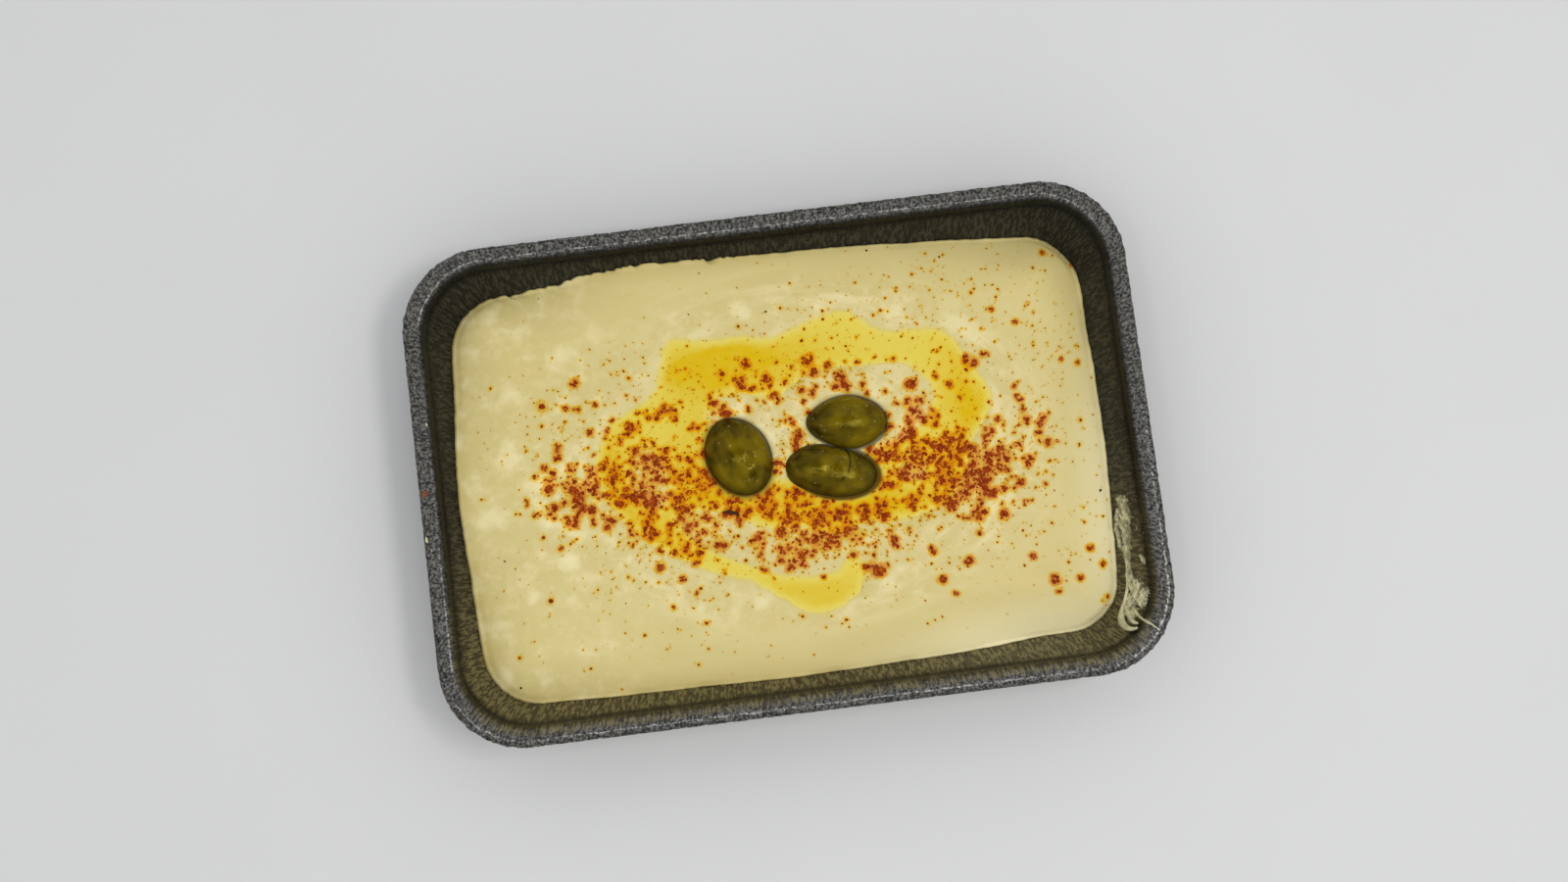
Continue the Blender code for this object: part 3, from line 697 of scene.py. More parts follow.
def grain_places():
    """Every grain's place and radius: the named clumps, the drifts and the loose sprinkles."""
    rng = random.Random(SEED)
    grains = []
    for x, y, radius in CLUMPS:
        for _ in range(int(6 + 12 * radius)):
            away = radius * 0.8 * math.sqrt(rng.random())
            turn = rng.uniform(0, 2 * math.pi)
            size = radius * rng.uniform(0.2, 0.45)
            grains.append((x + away * math.cos(turn), y + away * math.sin(turn), size))
    for (cx, cy), (sx, sy), cover in DRIFTS:
        area = cover * 2 * math.pi * sx * sy * GRAINS_PER_COVER
        while area > 0:
            x, y = rng.gauss(cx, sx), rng.gauss(cy, sy)
            size = min(GRAIN_MEDIAN * math.exp(rng.gauss(0, GRAIN_SPREAD)), 0.75)
            for _ in range(rng.choice(CLUSTER_COUNTS)):
                grains.append((x, y, size))
                area -= math.pi * size ** 2
                turn = rng.uniform(0, 2 * math.pi)
                x += size * rng.uniform(0.5, 1.5) * math.cos(turn)
                y += size * rng.uniform(0.5, 1.5) * math.sin(turn)
                size = min(size * rng.uniform(0.65, 1.4), 0.62)
    for (cx, cy), (sx, sy), count in SPRINKLES:
        for _ in range(count):
            size = SPRINKLE_RADIUS * math.exp(rng.gauss(0, SPRINKLE_SPREAD))
            grains.append((rng.gauss(cx, sx), rng.gauss(cy, sy), size))
    places = np.array(grains)
    inside = plan_inset(places[:, 0], places[:, 1]) > wall_inset(edge_level(places[:, 0], places[:, 1])) + 1
    clear = olive_distance(places[:, 0], places[:, 1]) > 0.15 + places[:, 2] * 0.6
    return places[inside & clear]


PLACES = grain_places()


def stain_map(cell=0.5):
    """How much colour has bled out of the grains, on a plan grid of cells."""
    columns, rows = int(TRAY_LENGTH / cell), int(TRAY_WIDTH / cell)
    total = np.zeros((rows, columns))
    for x, y, radius in PLACES:
        reach = 1.15 * radius + 0.25
        span = int(math.ceil(2.6 * reach / cell))
        i, j = int((x + TRAY_LENGTH / 2) / cell), int((y + TRAY_WIDTH / 2) / cell)
        js, is_ = slice(max(j - span, 0), j + span + 1), slice(max(i - span, 0), i + span + 1)
        gy = (np.arange(rows)[js] + 0.5) * cell - TRAY_WIDTH / 2 - y
        gx = (np.arange(columns)[is_] + 0.5) * cell - TRAY_LENGTH / 2 - x
        fall = np.exp(-(gx[None, :] ** 2 + gy[:, None] ** 2) / reach ** 2)
        total[js, is_] += fall * min(0.2 + 1.1 * radius, 0.85)
    return total, cell


STAIN_MAP, STAIN_CELL = stain_map()


def stain_at(x, y):
    u = np.clip((x + TRAY_LENGTH / 2) / STAIN_CELL - 0.5, 0, STAIN_MAP.shape[1] - 1.001)
    v = np.clip((y + TRAY_WIDTH / 2) / STAIN_CELL - 0.5, 0, STAIN_MAP.shape[0] - 1.001)
    i, j = u.astype(int), v.astype(int)
    fu, fv = u - i, v - j
    upper = STAIN_MAP[j, i] * (1 - fu) + STAIN_MAP[j, i + 1] * fu
    lower = STAIN_MAP[j + 1, i] * (1 - fu) + STAIN_MAP[j + 1, i + 1] * fu
    return 1 - np.exp(-(upper * (1 - fv) + lower * fv))


def spice_at(x, y):
    """How thickly the finest spice lies, from 0 to 1."""
    total = np.zeros(np.shape(x))
    for (cx, cy), (sx, sy), cover in DRIFTS:
        total += cover * np.exp(-(((x - cx) / sx) ** 2 + ((y - cy) / sy) ** 2) / 2.6)
    return 1 - np.exp(-3.2 * total)


def pale_at(x, y):
    """Where the paste is paler: blotches on the left, and arcs round the swirl."""
    left = eased((-38 - x) / 30)
    dx, dy = (x - SWIRL_CENTRE[0]) * TRAY_WIDTH / TRAY_LENGTH, y - SWIRL_CENTRE[1]
    radius = np.hypot(dx, dy)
    arcs = np.exp(-((radius - 45) / 7) ** 2) * 0.75
    middle = np.exp(-(np.maximum(radius - 12, 0) / 20) ** 2)
    return np.clip(0.78 * left + arcs + middle, 0, 1)


def grain_piece(name, places, sides, flatness, material):
    """One mesh of grains, each a copy of one rough lump, turned and sized by a seeded rule."""
    bpy.ops.object.select_all(action="DESELECT")
    if sides == 20:
        bpy.ops.mesh.primitive_ico_sphere_add(subdivisions=1, radius=1.0)
    else:
        bpy.ops.mesh.primitive_cylinder_add(vertices=4, radius=1.0, depth=1.2)
        in_edit_mode(bpy.context.object, lambda: bpy.ops.mesh.quads_convert_to_tris())
    base = bpy.context.object
    lump = points_of(base)
    faces = np.array([tuple(face.vertices) for face in base.data.polygons])
    rng = np.random.default_rng(SEED + sides)
    count = len(places)
    rough = lump[None] * rng.uniform(0.7, 1.2, (count, len(lump), 1))
    rough = rough * rng.uniform(0.75, 1.15, (count, 1, 3)) * np.array([1, 1, flatness])
    turn = rng.uniform(0, 2 * math.pi, count)
    x = rough[:, :, 0] * np.cos(turn)[:, None] - rough[:, :, 1] * np.sin(turn)[:, None]
    y = rough[:, :, 0] * np.sin(turn)[:, None] + rough[:, :, 1] * np.cos(turn)[:, None]
    points = np.stack([x, y, rough[:, :, 2]], 2) * places[:, 3, None, None] + places[:, None, :3]
    faces = (faces[None] + (np.arange(count) * len(lump))[:, None, None]).reshape(-1, 3)
    mesh = bpy.data.meshes.new(name)
    mesh.from_pydata((points.reshape(-1, 3) * MM).tolist(), [], faces.tolist())
    base.data = mesh
    base.name = name
    set_field(base, "tone", np.repeat(rng.random(count), len(lump)))
    finish_piece(base, material, "hummus")


def build_paprika():
    x, y, radius = PLACES.T
    shore, olives = shore_distance(x, y), olive_distance(x, y)
    bed = hummus_height(x, y, shore, olives)
    floats = shore < 0.1
    surface = np.where(floats, OIL_LEVEL, bed)
    rng = np.random.default_rng(SEED)
    lift = np.where(floats, rng.uniform(-0.32, 0.12, len(x)), rng.uniform(-0.1, 0.2, len(x)))
    places = np.stack([x, y, surface + lift * radius, radius], 1)
    spice = spice_material()
    large = radius > DUST_RADIUS
    grain_piece("paprika_grains", places[large], 20, 0.6, spice)
    grain_piece("paprika_dust", places[~large], 12, 0.55, spice)


def build_pepper():
    spots = np.array(PEPPER)
    x, y, radius = spots.T
    height = hummus_height(x, y, shore_distance(x, y), olive_distance(x, y))
    places = np.stack([x, y, height + 0.1, radius], 1)
    dark = pepper_material()
    grain_piece("pepper_specks", places, 20, 0.7, dark)
    start, end, width = SPLINTER
    middle = (np.array(start) + np.array(end)) / 2
    bpy.ops.object.select_all(action="DESELECT")
    bpy.ops.mesh.primitive_cylinder_add(vertices=10, radius=1.0, depth=2.0)
    piece = bpy.context.object
    piece.name = "spice_splinter"
    in_edit_mode(piece, lambda: bpy.ops.mesh.subdivide(number_cuts=3))
    p = points_of(piece)
    along = np.array([end[0] - start[0], end[1] - start[1]])
    length = np.hypot(*along)
    along = along / length
    bow = 0.35 * (1 - p[:, 2] ** 2)
    thin = width * (1 - 0.45 * np.abs(p[:, 2]))
    x = middle[0] + p[:, 2] * length / 2 * along[0] - (p[:, 0] * thin + bow) * along[1]
    y = middle[1] + p[:, 2] * length / 2 * along[1] + (p[:, 0] * thin + bow) * along[0]
    z = OIL_LEVEL + 0.55 + p[:, 1] * thin * 0.8
    set_points(piece, np.stack([x, y, z], 1) * MM)
    finish_piece(piece, dark, "hummus")


# Smears on the wall and rim

def on_wall(round_at, height, proud):
    """A place on the inner wall, round_at millimetres along the rim, standing proud of the foam."""
    inset = wall_inset(height) + proud / math.cos(WALL_SLOPE)
    x, y = outline_point(np.asarray(round_at) / RIM_LENGTH, inset)
    return np.stack([x, y, height + 0 * x], -1)


def stroke_cover(round_at, height, strokes):
    """How far inside the smear's strokes each place lies, as a share of their half width."""
    cover = np.full(np.shape(height), -9.0)
    for (ax, ay), (bx, by), width in strokes:
        dx, dy = bx - ax, by - ay
        t = np.clip(((round_at - ax) * dx + (height - ay) * dy) / (dx * dx + dy * dy), 0, 1)
        away = np.hypot(round_at - ax - t * dx, height - ay - t * dy)
        cover = np.maximum(cover, (width - away) / width)
    return cover


def smear_piece(name, start, end, low, high, thickness, strokes, seed, material):
    """A ragged film on the wall: a sheet that stands out of the foam only where paste is left."""
    piece, share, across = sheet_of_quads(name, int(abs(end - start) * 7), int((high - low) * 7))
    round_at = start + (end - start) * share
    height = low + (high - low) * across
    ragged = 0.75 * drift_noise(round_at * 0.5, height, 1.0, seed)
    ragged += 0.75 * drift_noise(round_at * 0.6, height, 0.5, seed + 1)
    body = np.clip(stroke_cover(round_at, height, strokes), -1, 0.9) + ragged + 0.05
    proud = thickness * np.clip(body, -0.9, 0.85)
    place = on_wall(round_at, height, 0)
    toward = on_wall(round_at, height, 1) - place
    set_points(piece, (place + toward * proud[:, None] + np.array([0, 0, 0.35]) * proud[:, None]) * MM)
    set_field(piece, "film", np.clip(body, 0, 1) * thickness / 0.8)
    bpy.context.view_layer.objects.active = piece
    normal = np.array(piece.data.vertices[0].normal)
    back = piece.modifiers.new("Back", "SOLIDIFY")
    back.thickness = 1.3 * MM
    back.offset = -1.0 if normal @ toward[0] > 0 else 1.0
    bpy.ops.object.modifier_apply(modifier=back.name)
    in_edit_mode(piece, merge_and_turn_out)
    finish_piece(piece, material, "hummus")


def strand(name, path, widths, material):
    """A tapered strand of paste along a path of places, as a bevelled curve made into a mesh."""
    curve = bpy.data.curves.new(name, "CURVE")
    curve.dimensions = "3D"
    curve.bevel_depth = MM
    curve.bevel_resolution = 4
    curve.use_fill_caps = True
    spline = curve.splines.new("NURBS")
    spline.points.add(len(path) - 1)
    for point, place, width in zip(spline.points, path, widths):
        point.co = (place[0] * MM, place[1] * MM, place[2] * MM, 1)
        point.radius = width
    spline.use_endpoint_u = True
    spline.order_u = 4
    spline.resolution_u = 10
    piece = bpy.data.objects.new(name, curve)
    bpy.context.scene.collection.objects.link(piece)
    bpy.ops.object.select_all(action="DESELECT")
    piece.select_set(True)
    bpy.context.view_layer.objects.active = piece
    bpy.ops.object.convert(target="MESH")
    in_edit_mode(piece, merge_and_turn_out)
    keep_in_box(piece)
    set_field(piece, "film", np.ones(len(piece.data.vertices)))
    finish_piece(piece, material, "hummus")


def build_smears():
    paste = smear_material()
    smear_piece("wall_smear_film", 603, 574, 10.8, 23.6, 0.45, FILM_STROKES, 20.0, paste)
    smear_piece("wall_smear_body", 580, 555, 13.0, 24.0, 0.8, BODY_STROKES, 24.0, paste)
    for name, path in (("wall_curl", CURL), ("wall_hook", HOOK), ("wall_spur", SPUR)):
        places = [on_wall(at, height, proud) for at, height, proud, _ in path]
        strand(name, places, [width for *_, width in path], paste)
    for i, (x, y, radius) in enumerate(RIM_DROPS):
        bpy.ops.object.select_all(action="DESELECT")
        bpy.ops.mesh.primitive_uv_sphere_add(segments=24, ring_count=16, radius=radius * MM,
                                             location=(x * MM, y * MM, (TRAY_DEPTH - 0.3) * MM))
        drop = bpy.context.object
        drop.name = f"rim_drop_{i + 1}"
        bpy.ops.transform.resize(value=(0.7, 1.3, 0.5))
        bpy.ops.object.transform_apply(location=True, rotation=True, scale=True)
        lumps = [noise.noise(q) for q in (points_of(drop) / MM * 1.3).tolist()]
        push_out(drop, 0.2 * np.array(lumps))
        keep_in_box(drop)
        set_field(drop, "film", np.ones(len(drop.data.vertices)))
        finish_piece(drop, paste, "hummus")


# Shader helpers

def node(tree, kind, settings=None, **inputs):
    """Adds a node, sets its properties and sets or links its inputs by name."""
    made = tree.nodes.new(kind)
    for name, value in (settings or {}).items():
        setattr(made, name, value)
    for name, value in inputs.items():
        put(tree, made.inputs[name.replace("_", " ")], value)
    return made


def put(tree, socket, value):
    if isinstance(value, bpy.types.NodeSocket):
        tree.links.new(value, socket)
    elif socket.type == "RGBA":
        socket.default_value = (*value, 1.0)
    else:
        socket.default_value = value


def mixed(tree, share, low, high, kind="MIX"):
    """Colour between two colours, by a share."""
    made = node(tree, "ShaderNodeMix", {"data_type": "RGBA", "blend_type": kind})
    for socket, value in zip((made.inputs[0], made.inputs[6], made.inputs[7]), (share, low, high)):
        put(tree, socket, value)
    return made.outputs[2]


def stained(tree, share, colour, tint):
    """Colour darkened by a tint that lets some of it through."""
    return mixed(tree, share, colour, tint, "MULTIPLY")


def sum_of(tree, operation, first, second=0.0):
    made = node(tree, "ShaderNodeMath", {"operation": operation})
    put(tree, made.inputs[0], first)
    put(tree, made.inputs[1], second)
    return made.outputs[0]


def times(tree, first, second):
    return sum_of(tree, "MULTIPLY", first, second)


def ramp(tree, value, low, high, to_low=0.0, to_high=1.0):
    made = node(tree, "ShaderNodeMapRange", {"interpolation_type": "SMOOTHSTEP"}, Value=value,
                From_Min=low, From_Max=high, To_Min=to_low, To_Max=to_high)
    return made.outputs["Result"]


def field(tree, name, output="Fac"):
    return node(tree, "ShaderNodeAttribute", {"attribute_name": name}).outputs[output]


def new_group(name, inputs, outputs):
    tree = bpy.data.node_groups.new(name, "ShaderNodeTree")
    for label, kind, default in inputs:
        socket = tree.interface.new_socket(label, in_out="INPUT", socket_type=kind)
        if default is not None:
            socket.default_value = default
    for label, kind in outputs:
        tree.interface.new_socket(label, in_out="OUTPUT", socket_type=kind)
    return tree, tree.nodes.new("NodeGroupInput"), tree.nodes.new("NodeGroupOutput")


def mottle_group():
    """Soft uneven patches: a mask that goes from 0 to 1 over cloudy noise."""
    tree, given, out = new_group(
        "Mottle",
        [("Vector", "NodeSocketVector", None), ("Scale", "NodeSocketFloat", 100.0),
         ("Detail", "NodeSocketFloat", 3.0), ("Cover", "NodeSocketFloat", 0.5),
         ("Softness", "NodeSocketFloat", 0.1)],
        [("Mask", "NodeSocketFloat")],
    )
    cloud = node(tree, "ShaderNodeTexNoise", None, Vector=given.outputs["Vector"],
                 Scale=given.outputs["Scale"], Detail=given.outputs["Detail"], Roughness=0.55)
    middle = sum_of(tree, "SUBTRACT", 1.0, given.outputs["Cover"])
    low = sum_of(tree, "SUBTRACT", middle, given.outputs["Softness"])
    high = sum_of(tree, "ADD", middle, given.outputs["Softness"])
    mask = ramp(tree, cloud.outputs["Fac"], low, high)
    tree.links.new(mask, out.inputs["Mask"])
    return tree


def speck_group():
    """Scattered round specks: only the cells whose own random number is under Share hold one."""
    tree, given, out = new_group(
        "Specks",
        [("Vector", "NodeSocketVector", None), ("Scale", "NodeSocketFloat", 1000.0),
         ("Share", "NodeSocketFloat", 0.3), ("Size", "NodeSocketFloat", 0.3)],
        [("Mask", "NodeSocketFloat"), ("Tone", "NodeSocketFloat")],
    )
    cells = node(tree, "ShaderNodeTexVoronoi", None, Vector=given.outputs["Vector"],
                 Scale=given.outputs["Scale"])
    parts = node(tree, "ShaderNodeSeparateColor", None, Color=cells.outputs["Color"])
    chosen = sum_of(tree, "LESS_THAN", parts.outputs["Red"], given.outputs["Share"])
    reach = times(tree, given.outputs["Size"], sum_of(tree, "ADD", parts.outputs["Green"], 0.35))
    near = ramp(tree, sum_of(tree, "SUBTRACT", reach, cells.outputs["Distance"]), -0.04, 0.08)
    tree.links.new(times(tree, chosen, near), out.inputs["Mask"])
    tree.links.new(parts.outputs["Blue"], out.inputs["Tone"])
    return tree


def grain_group():
    """Fine surface grain in two sizes, as a height."""
    tree, given, out = new_group(
        "Fine grain",
        [("Vector", "NodeSocketVector", None), ("Scale", "NodeSocketFloat", 500.0),
         ("Coarse", "NodeSocketFloat", 0.5)],
        [("Height", "NodeSocketFloat")],
    )
    fine = node(tree, "ShaderNodeTexNoise", None, Vector=given.outputs["Vector"],
                Scale=given.outputs["Scale"], Detail=4.0)
    wide = node(tree, "ShaderNodeTexNoise", None, Vector=given.outputs["Vector"],
                Scale=times(tree, given.outputs["Scale"], 0.22), Detail=2.0)
    height = node(tree, "ShaderNodeMix", {"data_type": "FLOAT"})
    put(tree, height.inputs[0], given.outputs["Coarse"])
    put(tree, height.inputs[2], fine.outputs["Fac"])
    put(tree, height.inputs[3], wide.outputs["Fac"])
    tree.links.new(height.outputs[0], out.inputs["Height"])
    return tree


GROUPS = {"Mottle": mottle_group(), "Specks": speck_group(), "Fine grain": grain_group()}


def effect(tree, name, **inputs):
    made = tree.nodes.new("ShaderNodeGroup")
    made.node_tree = GROUPS[name]
    for label, value in inputs.items():
        put(tree, made.inputs[label], value)
    return made.outputs


def mottle(tree, place, scale, detail, cover, softness):
    """The mask of soft uneven patches at a place."""
    made = effect(tree, "Mottle", Vector=place, Scale=scale, Detail=detail, Cover=cover,
                  Softness=softness)
    return made["Mask"]


def new_material(name, **values):
    """A material with its own Principled shader; constant values are set on its sockets."""
    mat = bpy.data.materials.new(name)
    mat.use_nodes = True
    shader = mat.node_tree.nodes["Principled BSDF"]
    for label, value in values.items():
        put(mat.node_tree, shader.inputs[label.replace("_", " ")], value)
    place = mat.node_tree.nodes.new("ShaderNodeTexCoord").outputs["Object"]
    return mat, mat.node_tree, shader, place


def bump(tree, shader, height, strength, distance):
    made = node(tree, "ShaderNodeBump", None, Height=height, Strength=strength, Distance=distance * MM)
    tree.links.new(made.outputs["Normal"], shader.inputs["Normal"])


def swirl_vector(tree, place):
    """Coordinates that run round the swirl, so that noise on them is drawn out along its arcs."""
    centred = node(tree, "ShaderNodeMapping", None, Vector=place)
    centred.inputs["Location"].default_value = (-SWIRL_CENTRE[0] * MM * 0.69, -SWIRL_CENTRE[1] * MM, 0)
    centred.inputs["Scale"].default_value = (0.69, 1.0, 0.0)
    length = node(tree, "ShaderNodeVectorMath", {"operation": "LENGTH"})
    put(tree, length.inputs[0], centred.outputs[0])
    facing = node(tree, "ShaderNodeVectorMath", {"operation": "NORMALIZE"})
    put(tree, facing.inputs[0], centred.outputs[0])
    short = node(tree, "ShaderNodeVectorMath", {"operation": "SCALE"}, Scale=0.011)
    put(tree, short.inputs[0], facing.outputs[0])
    rise = node(tree, "ShaderNodeCombineXYZ", None, Z=length.outputs["Value"])
    both = node(tree, "ShaderNodeVectorMath", {"operation": "ADD"})
    put(tree, both.inputs[0], short.outputs[0])
    put(tree, both.inputs[1], rise.outputs[0])
    return both.outputs[0]


# Materials

def paste_material():
    mat, tree, shader, place = new_material("hummus paste", Roughness=0.45, Specular_IOR_Level=0.3)
    pale = field(tree, "pale")
    blotch = mottle(tree, place, 120.0, 5.0, 0.42, 0.12)
    streak = mottle(tree, swirl_vector(tree, place), 210.0, 5.0, 0.42, 0.12)
    wide = mottle(tree, place, 22.0, 2.0, 0.5, 0.2)
    streak = times(tree, streak, field(tree, "strokes"))
    light = times(tree, sum_of(tree, "MAXIMUM", blotch, streak), pale)
    wide = times(tree, wide, 0.35)
    # Deeper patches at random, and the painted shade by the wall.
    deep = sum_of(tree, "MAXIMUM", wide, times(tree, field(tree, "shade"), 0.8))
    colour = mixed(tree, deep, PASTE, PASTE_DEEP)
    crumbs = mottle(tree, place, 330.0, 3.0, 0.42, 0.12)
    crumbs = times(tree, crumbs, sum_of(tree, "ADD", times(tree, field(tree, "spice"), 0.7), 0.2))
    crumbs = times(tree, crumbs, pale)
    share = sum_of(tree, "MAXIMUM", times(tree, light, 0.7), crumbs)
    # Paler blotches, arcs and crumbs, and the painted light on the front right edge.
    colour = mixed(tree, sum_of(tree, "MAXIMUM", share, field(tree, "lit")), colour, PASTE_PALE)
    near_oil = ramp(tree, field(tree, "shore"), 0.0, 1.3, 0.6, 0.0)
    colour = mixed(tree, near_oil, colour, OIL_SHALLOW)
    breakup = mottle(tree, place, 900.0, 3.0, 0.5, 0.2)
    bleed = times(tree, field(tree, "stain"), sum_of(tree, "ADD", breakup, 0.55))
    colour = stained(tree, ramp(tree, bleed, 0.0, 0.42), colour, STAIN_THIN)
    colour = stained(tree, ramp(tree, bleed, 0.1, 1.0), colour, STAIN)
    colour = spiced(tree, place, colour, 0.8)
    # Painted contact shadow round each olive, together with the dark oil of its meniscus.
    olive_shade_ring = ramp(tree, field(tree, "olive"), -0.1, 0.75, 0.95, 0.0)
    colour = mixed(tree, olive_shade_ring, colour, PASTE_SHADE_RING)
    tree.links.new(colour, shader.inputs["Base Color"])
    tree.links.new(ramp(tree, light, 0.0, 1.0, 0.42, 0.56), shader.inputs["Roughness"])
    height = effect(tree, "Fine grain", Vector=place, Scale=1500.0, Coarse=0.6)["Height"]
    bump(tree, shader, height, 0.25, 0.25)
    return mat


def spiced(tree, place, colour, strength):
    """The finest spice, as specks too small to be grains, thicker where the spice field is."""
    share = times(tree, field(tree, "spice"), 0.2 * strength)
    for scale, size in ((1500.0, 0.3), (850.0, 0.26)):
        specks = effect(tree, "Specks", Vector=place, Scale=scale, Share=share, Size=size)
        tone = mixed(tree, specks["Tone"], SPICE, SPICE_LIGHT)
        colour = mixed(tree, times(tree, specks["Mask"], 0.8), colour, tone)
    return colour


def oil_material():
    mat, tree, shader, place = new_material("olive oil", Roughness=0.14, Specular_IOR_Level=0.22,
                                            Specular_Tint=(1.0, 0.93, 0.6))
    depth = field(tree, "depth")
    cloud = mottle(tree, swirl_vector(tree, place), 150.0, 3.0, 0.5, 0.16)
    fine = mottle(tree, place, 420.0, 3.0, 0.5, 0.2)
    share = times(tree, depth, sum_of(tree, "ADD", times(tree, cloud, 0.5), 0.65))
    colour = mixed(tree, share, OIL_SHALLOW, OIL_DEEP)
    thin = ramp(tree, field(tree, "shore"), -1.6, 0.1, 0.0, 0.6)
    colour = mixed(tree, thin, colour, OIL_SHORE)
    colour = mixed(tree, times(tree, fine, 0.12), colour, OIL_CLOUD)
    bleed = times(tree, field(tree, "stain"), sum_of(tree, "ADD", fine, 0.5))
    colour = stained(tree, ramp(tree, bleed, 0.0, 0.5), colour, STAIN_THIN)
    colour = stained(tree, ramp(tree, bleed, 0.1, 1.0), colour, OIL_STAIN)
    colour = spiced(tree, place, colour, 0.8)
    film = ramp(tree, field(tree, "left_olive"), 0.5, 2.0, 0.55, 0.0)
    colour = mixed(tree, film, colour, OIL_BY_OLIVE)
    # Painted contact shadow round each olive, together with the dark oil of its meniscus.
    olive_shade_ring = ramp(tree, field(tree, "olive"), 0.0, 0.9, 0.95, 0.0)
    colour = mixed(tree, olive_shade_ring, colour, OIL_SHADE_RING)
    tree.links.new(colour, shader.inputs["Base Color"])
    height = effect(tree, "Fine grain", Vector=place, Scale=260.0, Coarse=0.5)["Height"]
    bump(tree, shader, height, 0.12, 0.3)
    return mat


def olive_material(name):
    mat, tree, shader, place = new_material(f"{name} wet skin", Roughness=0.2, Specular_IOR_Level=0.3,
                                            Specular_Tint=(1.0, 0.86, 0.15))
    centre, _, _, _, bearing, _, _ = OLIVES[name]
    turned = node(tree, "ShaderNodeMapping", {"vector_type": "TEXTURE"}, Vector=place)
    turned.inputs["Location"].default_value = tuple(value * MM for value in centre)
    turned.inputs["Rotation"].default_value = (0, 0, math.radians(bearing))
    drawn = node(tree, "ShaderNodeMapping", None, Vector=turned.outputs[0])
    drawn.inputs["Scale"].default_value = (0.35, 1.0, 1.0)
    cloud = mottle(tree, drawn.outputs[0], 330.0, 4.0, 0.52, 0.16)
    patch = mottle(tree, turned.outputs[0], 110.0, 2.0, 0.5, 0.15)
    colour = mixed(tree, cloud, OLIVE_DARK, OLIVE)
    colour = mixed(tree, times(tree, patch, 0.75), colour, OLIVE_LIGHT)
    dots = effect(tree, "Specks", Vector=turned.outputs[0], Scale=900.0, Share=0.22, Size=0.3)["Mask"]
    colour = mixed(tree, times(tree, dots, 0.35), colour, OLIVE_DOTS)
    parts = node(tree, "ShaderNodeSeparateXYZ", None, Vector=place)
    # Painted shade: each olive is painted darker down towards its foot in the oil.
    low = ramp(tree, parts.outputs["Z"], (OIL_LEVEL - 0.2) * MM, (OIL_LEVEL + 3.4) * MM, 0.95, 0.0)
    colour = mixed(tree, low, colour, OLIVE_FOOT_SHADE)
    # Painted highlight: a pale line along the lower front edge of the right olive.
    if name == "olive_right":
        line = ramp(tree, parts.outputs["Z"], (OIL_LEVEL + 0.5) * MM, (OIL_LEVEL + 1.1) * MM, 1.0, 0.0)
        front = times(tree, line, ramp(tree, parts.outputs["Y"], 0.0035, 0.0065, 1.0, 0.0))
        colour = mixed(tree, times(tree, front, 0.8), colour, OLIVE_EDGE_HIGHLIGHT)
    if name == "olive_front":
        colour = mixed(tree, split_line(tree, place), colour, OLIVE_SPLIT)
    tree.links.new(colour, shader.inputs["Base Color"])
    tree.links.new(ramp(tree, cloud, 0.0, 1.0, 0.13, 0.24), shader.inputs["Roughness"])
    height = effect(tree, "Fine grain", Vector=turned.outputs[0], Scale=700.0, Coarse=0.45)["Height"]
    bump(tree, shader, height, 0.4, 0.4)
    return mat


def split_line(tree, place):
    """The dark line of the split, along part of a circle in the plan."""
    centred = node(tree, "ShaderNodeMapping", None, Vector=place)
    centred.inputs["Location"].default_value = (-SPLIT_CENTRE[0] * MM, -SPLIT_CENTRE[1] * MM, 0)
    centred.inputs["Scale"].default_value = (1.0, 1.0, 0.0)
    length = node(tree, "ShaderNodeVectorMath", {"operation": "LENGTH"})
    put(tree, length.inputs[0], centred.outputs[0])
    gap = sum_of(tree, "ABSOLUTE", sum_of(tree, "SUBTRACT", length.outputs["Value"], SPLIT_RADIUS * MM))
    line = ramp(tree, gap, 0.15 * MM, 0.5 * MM, 0.9, 0.0)
    parts = node(tree, "ShaderNodeSeparateXYZ", None, Vector=centred.outputs[0])
    return times(tree, line, ramp(tree, parts.outputs["X"], 2.5 * MM, 3.6 * MM))


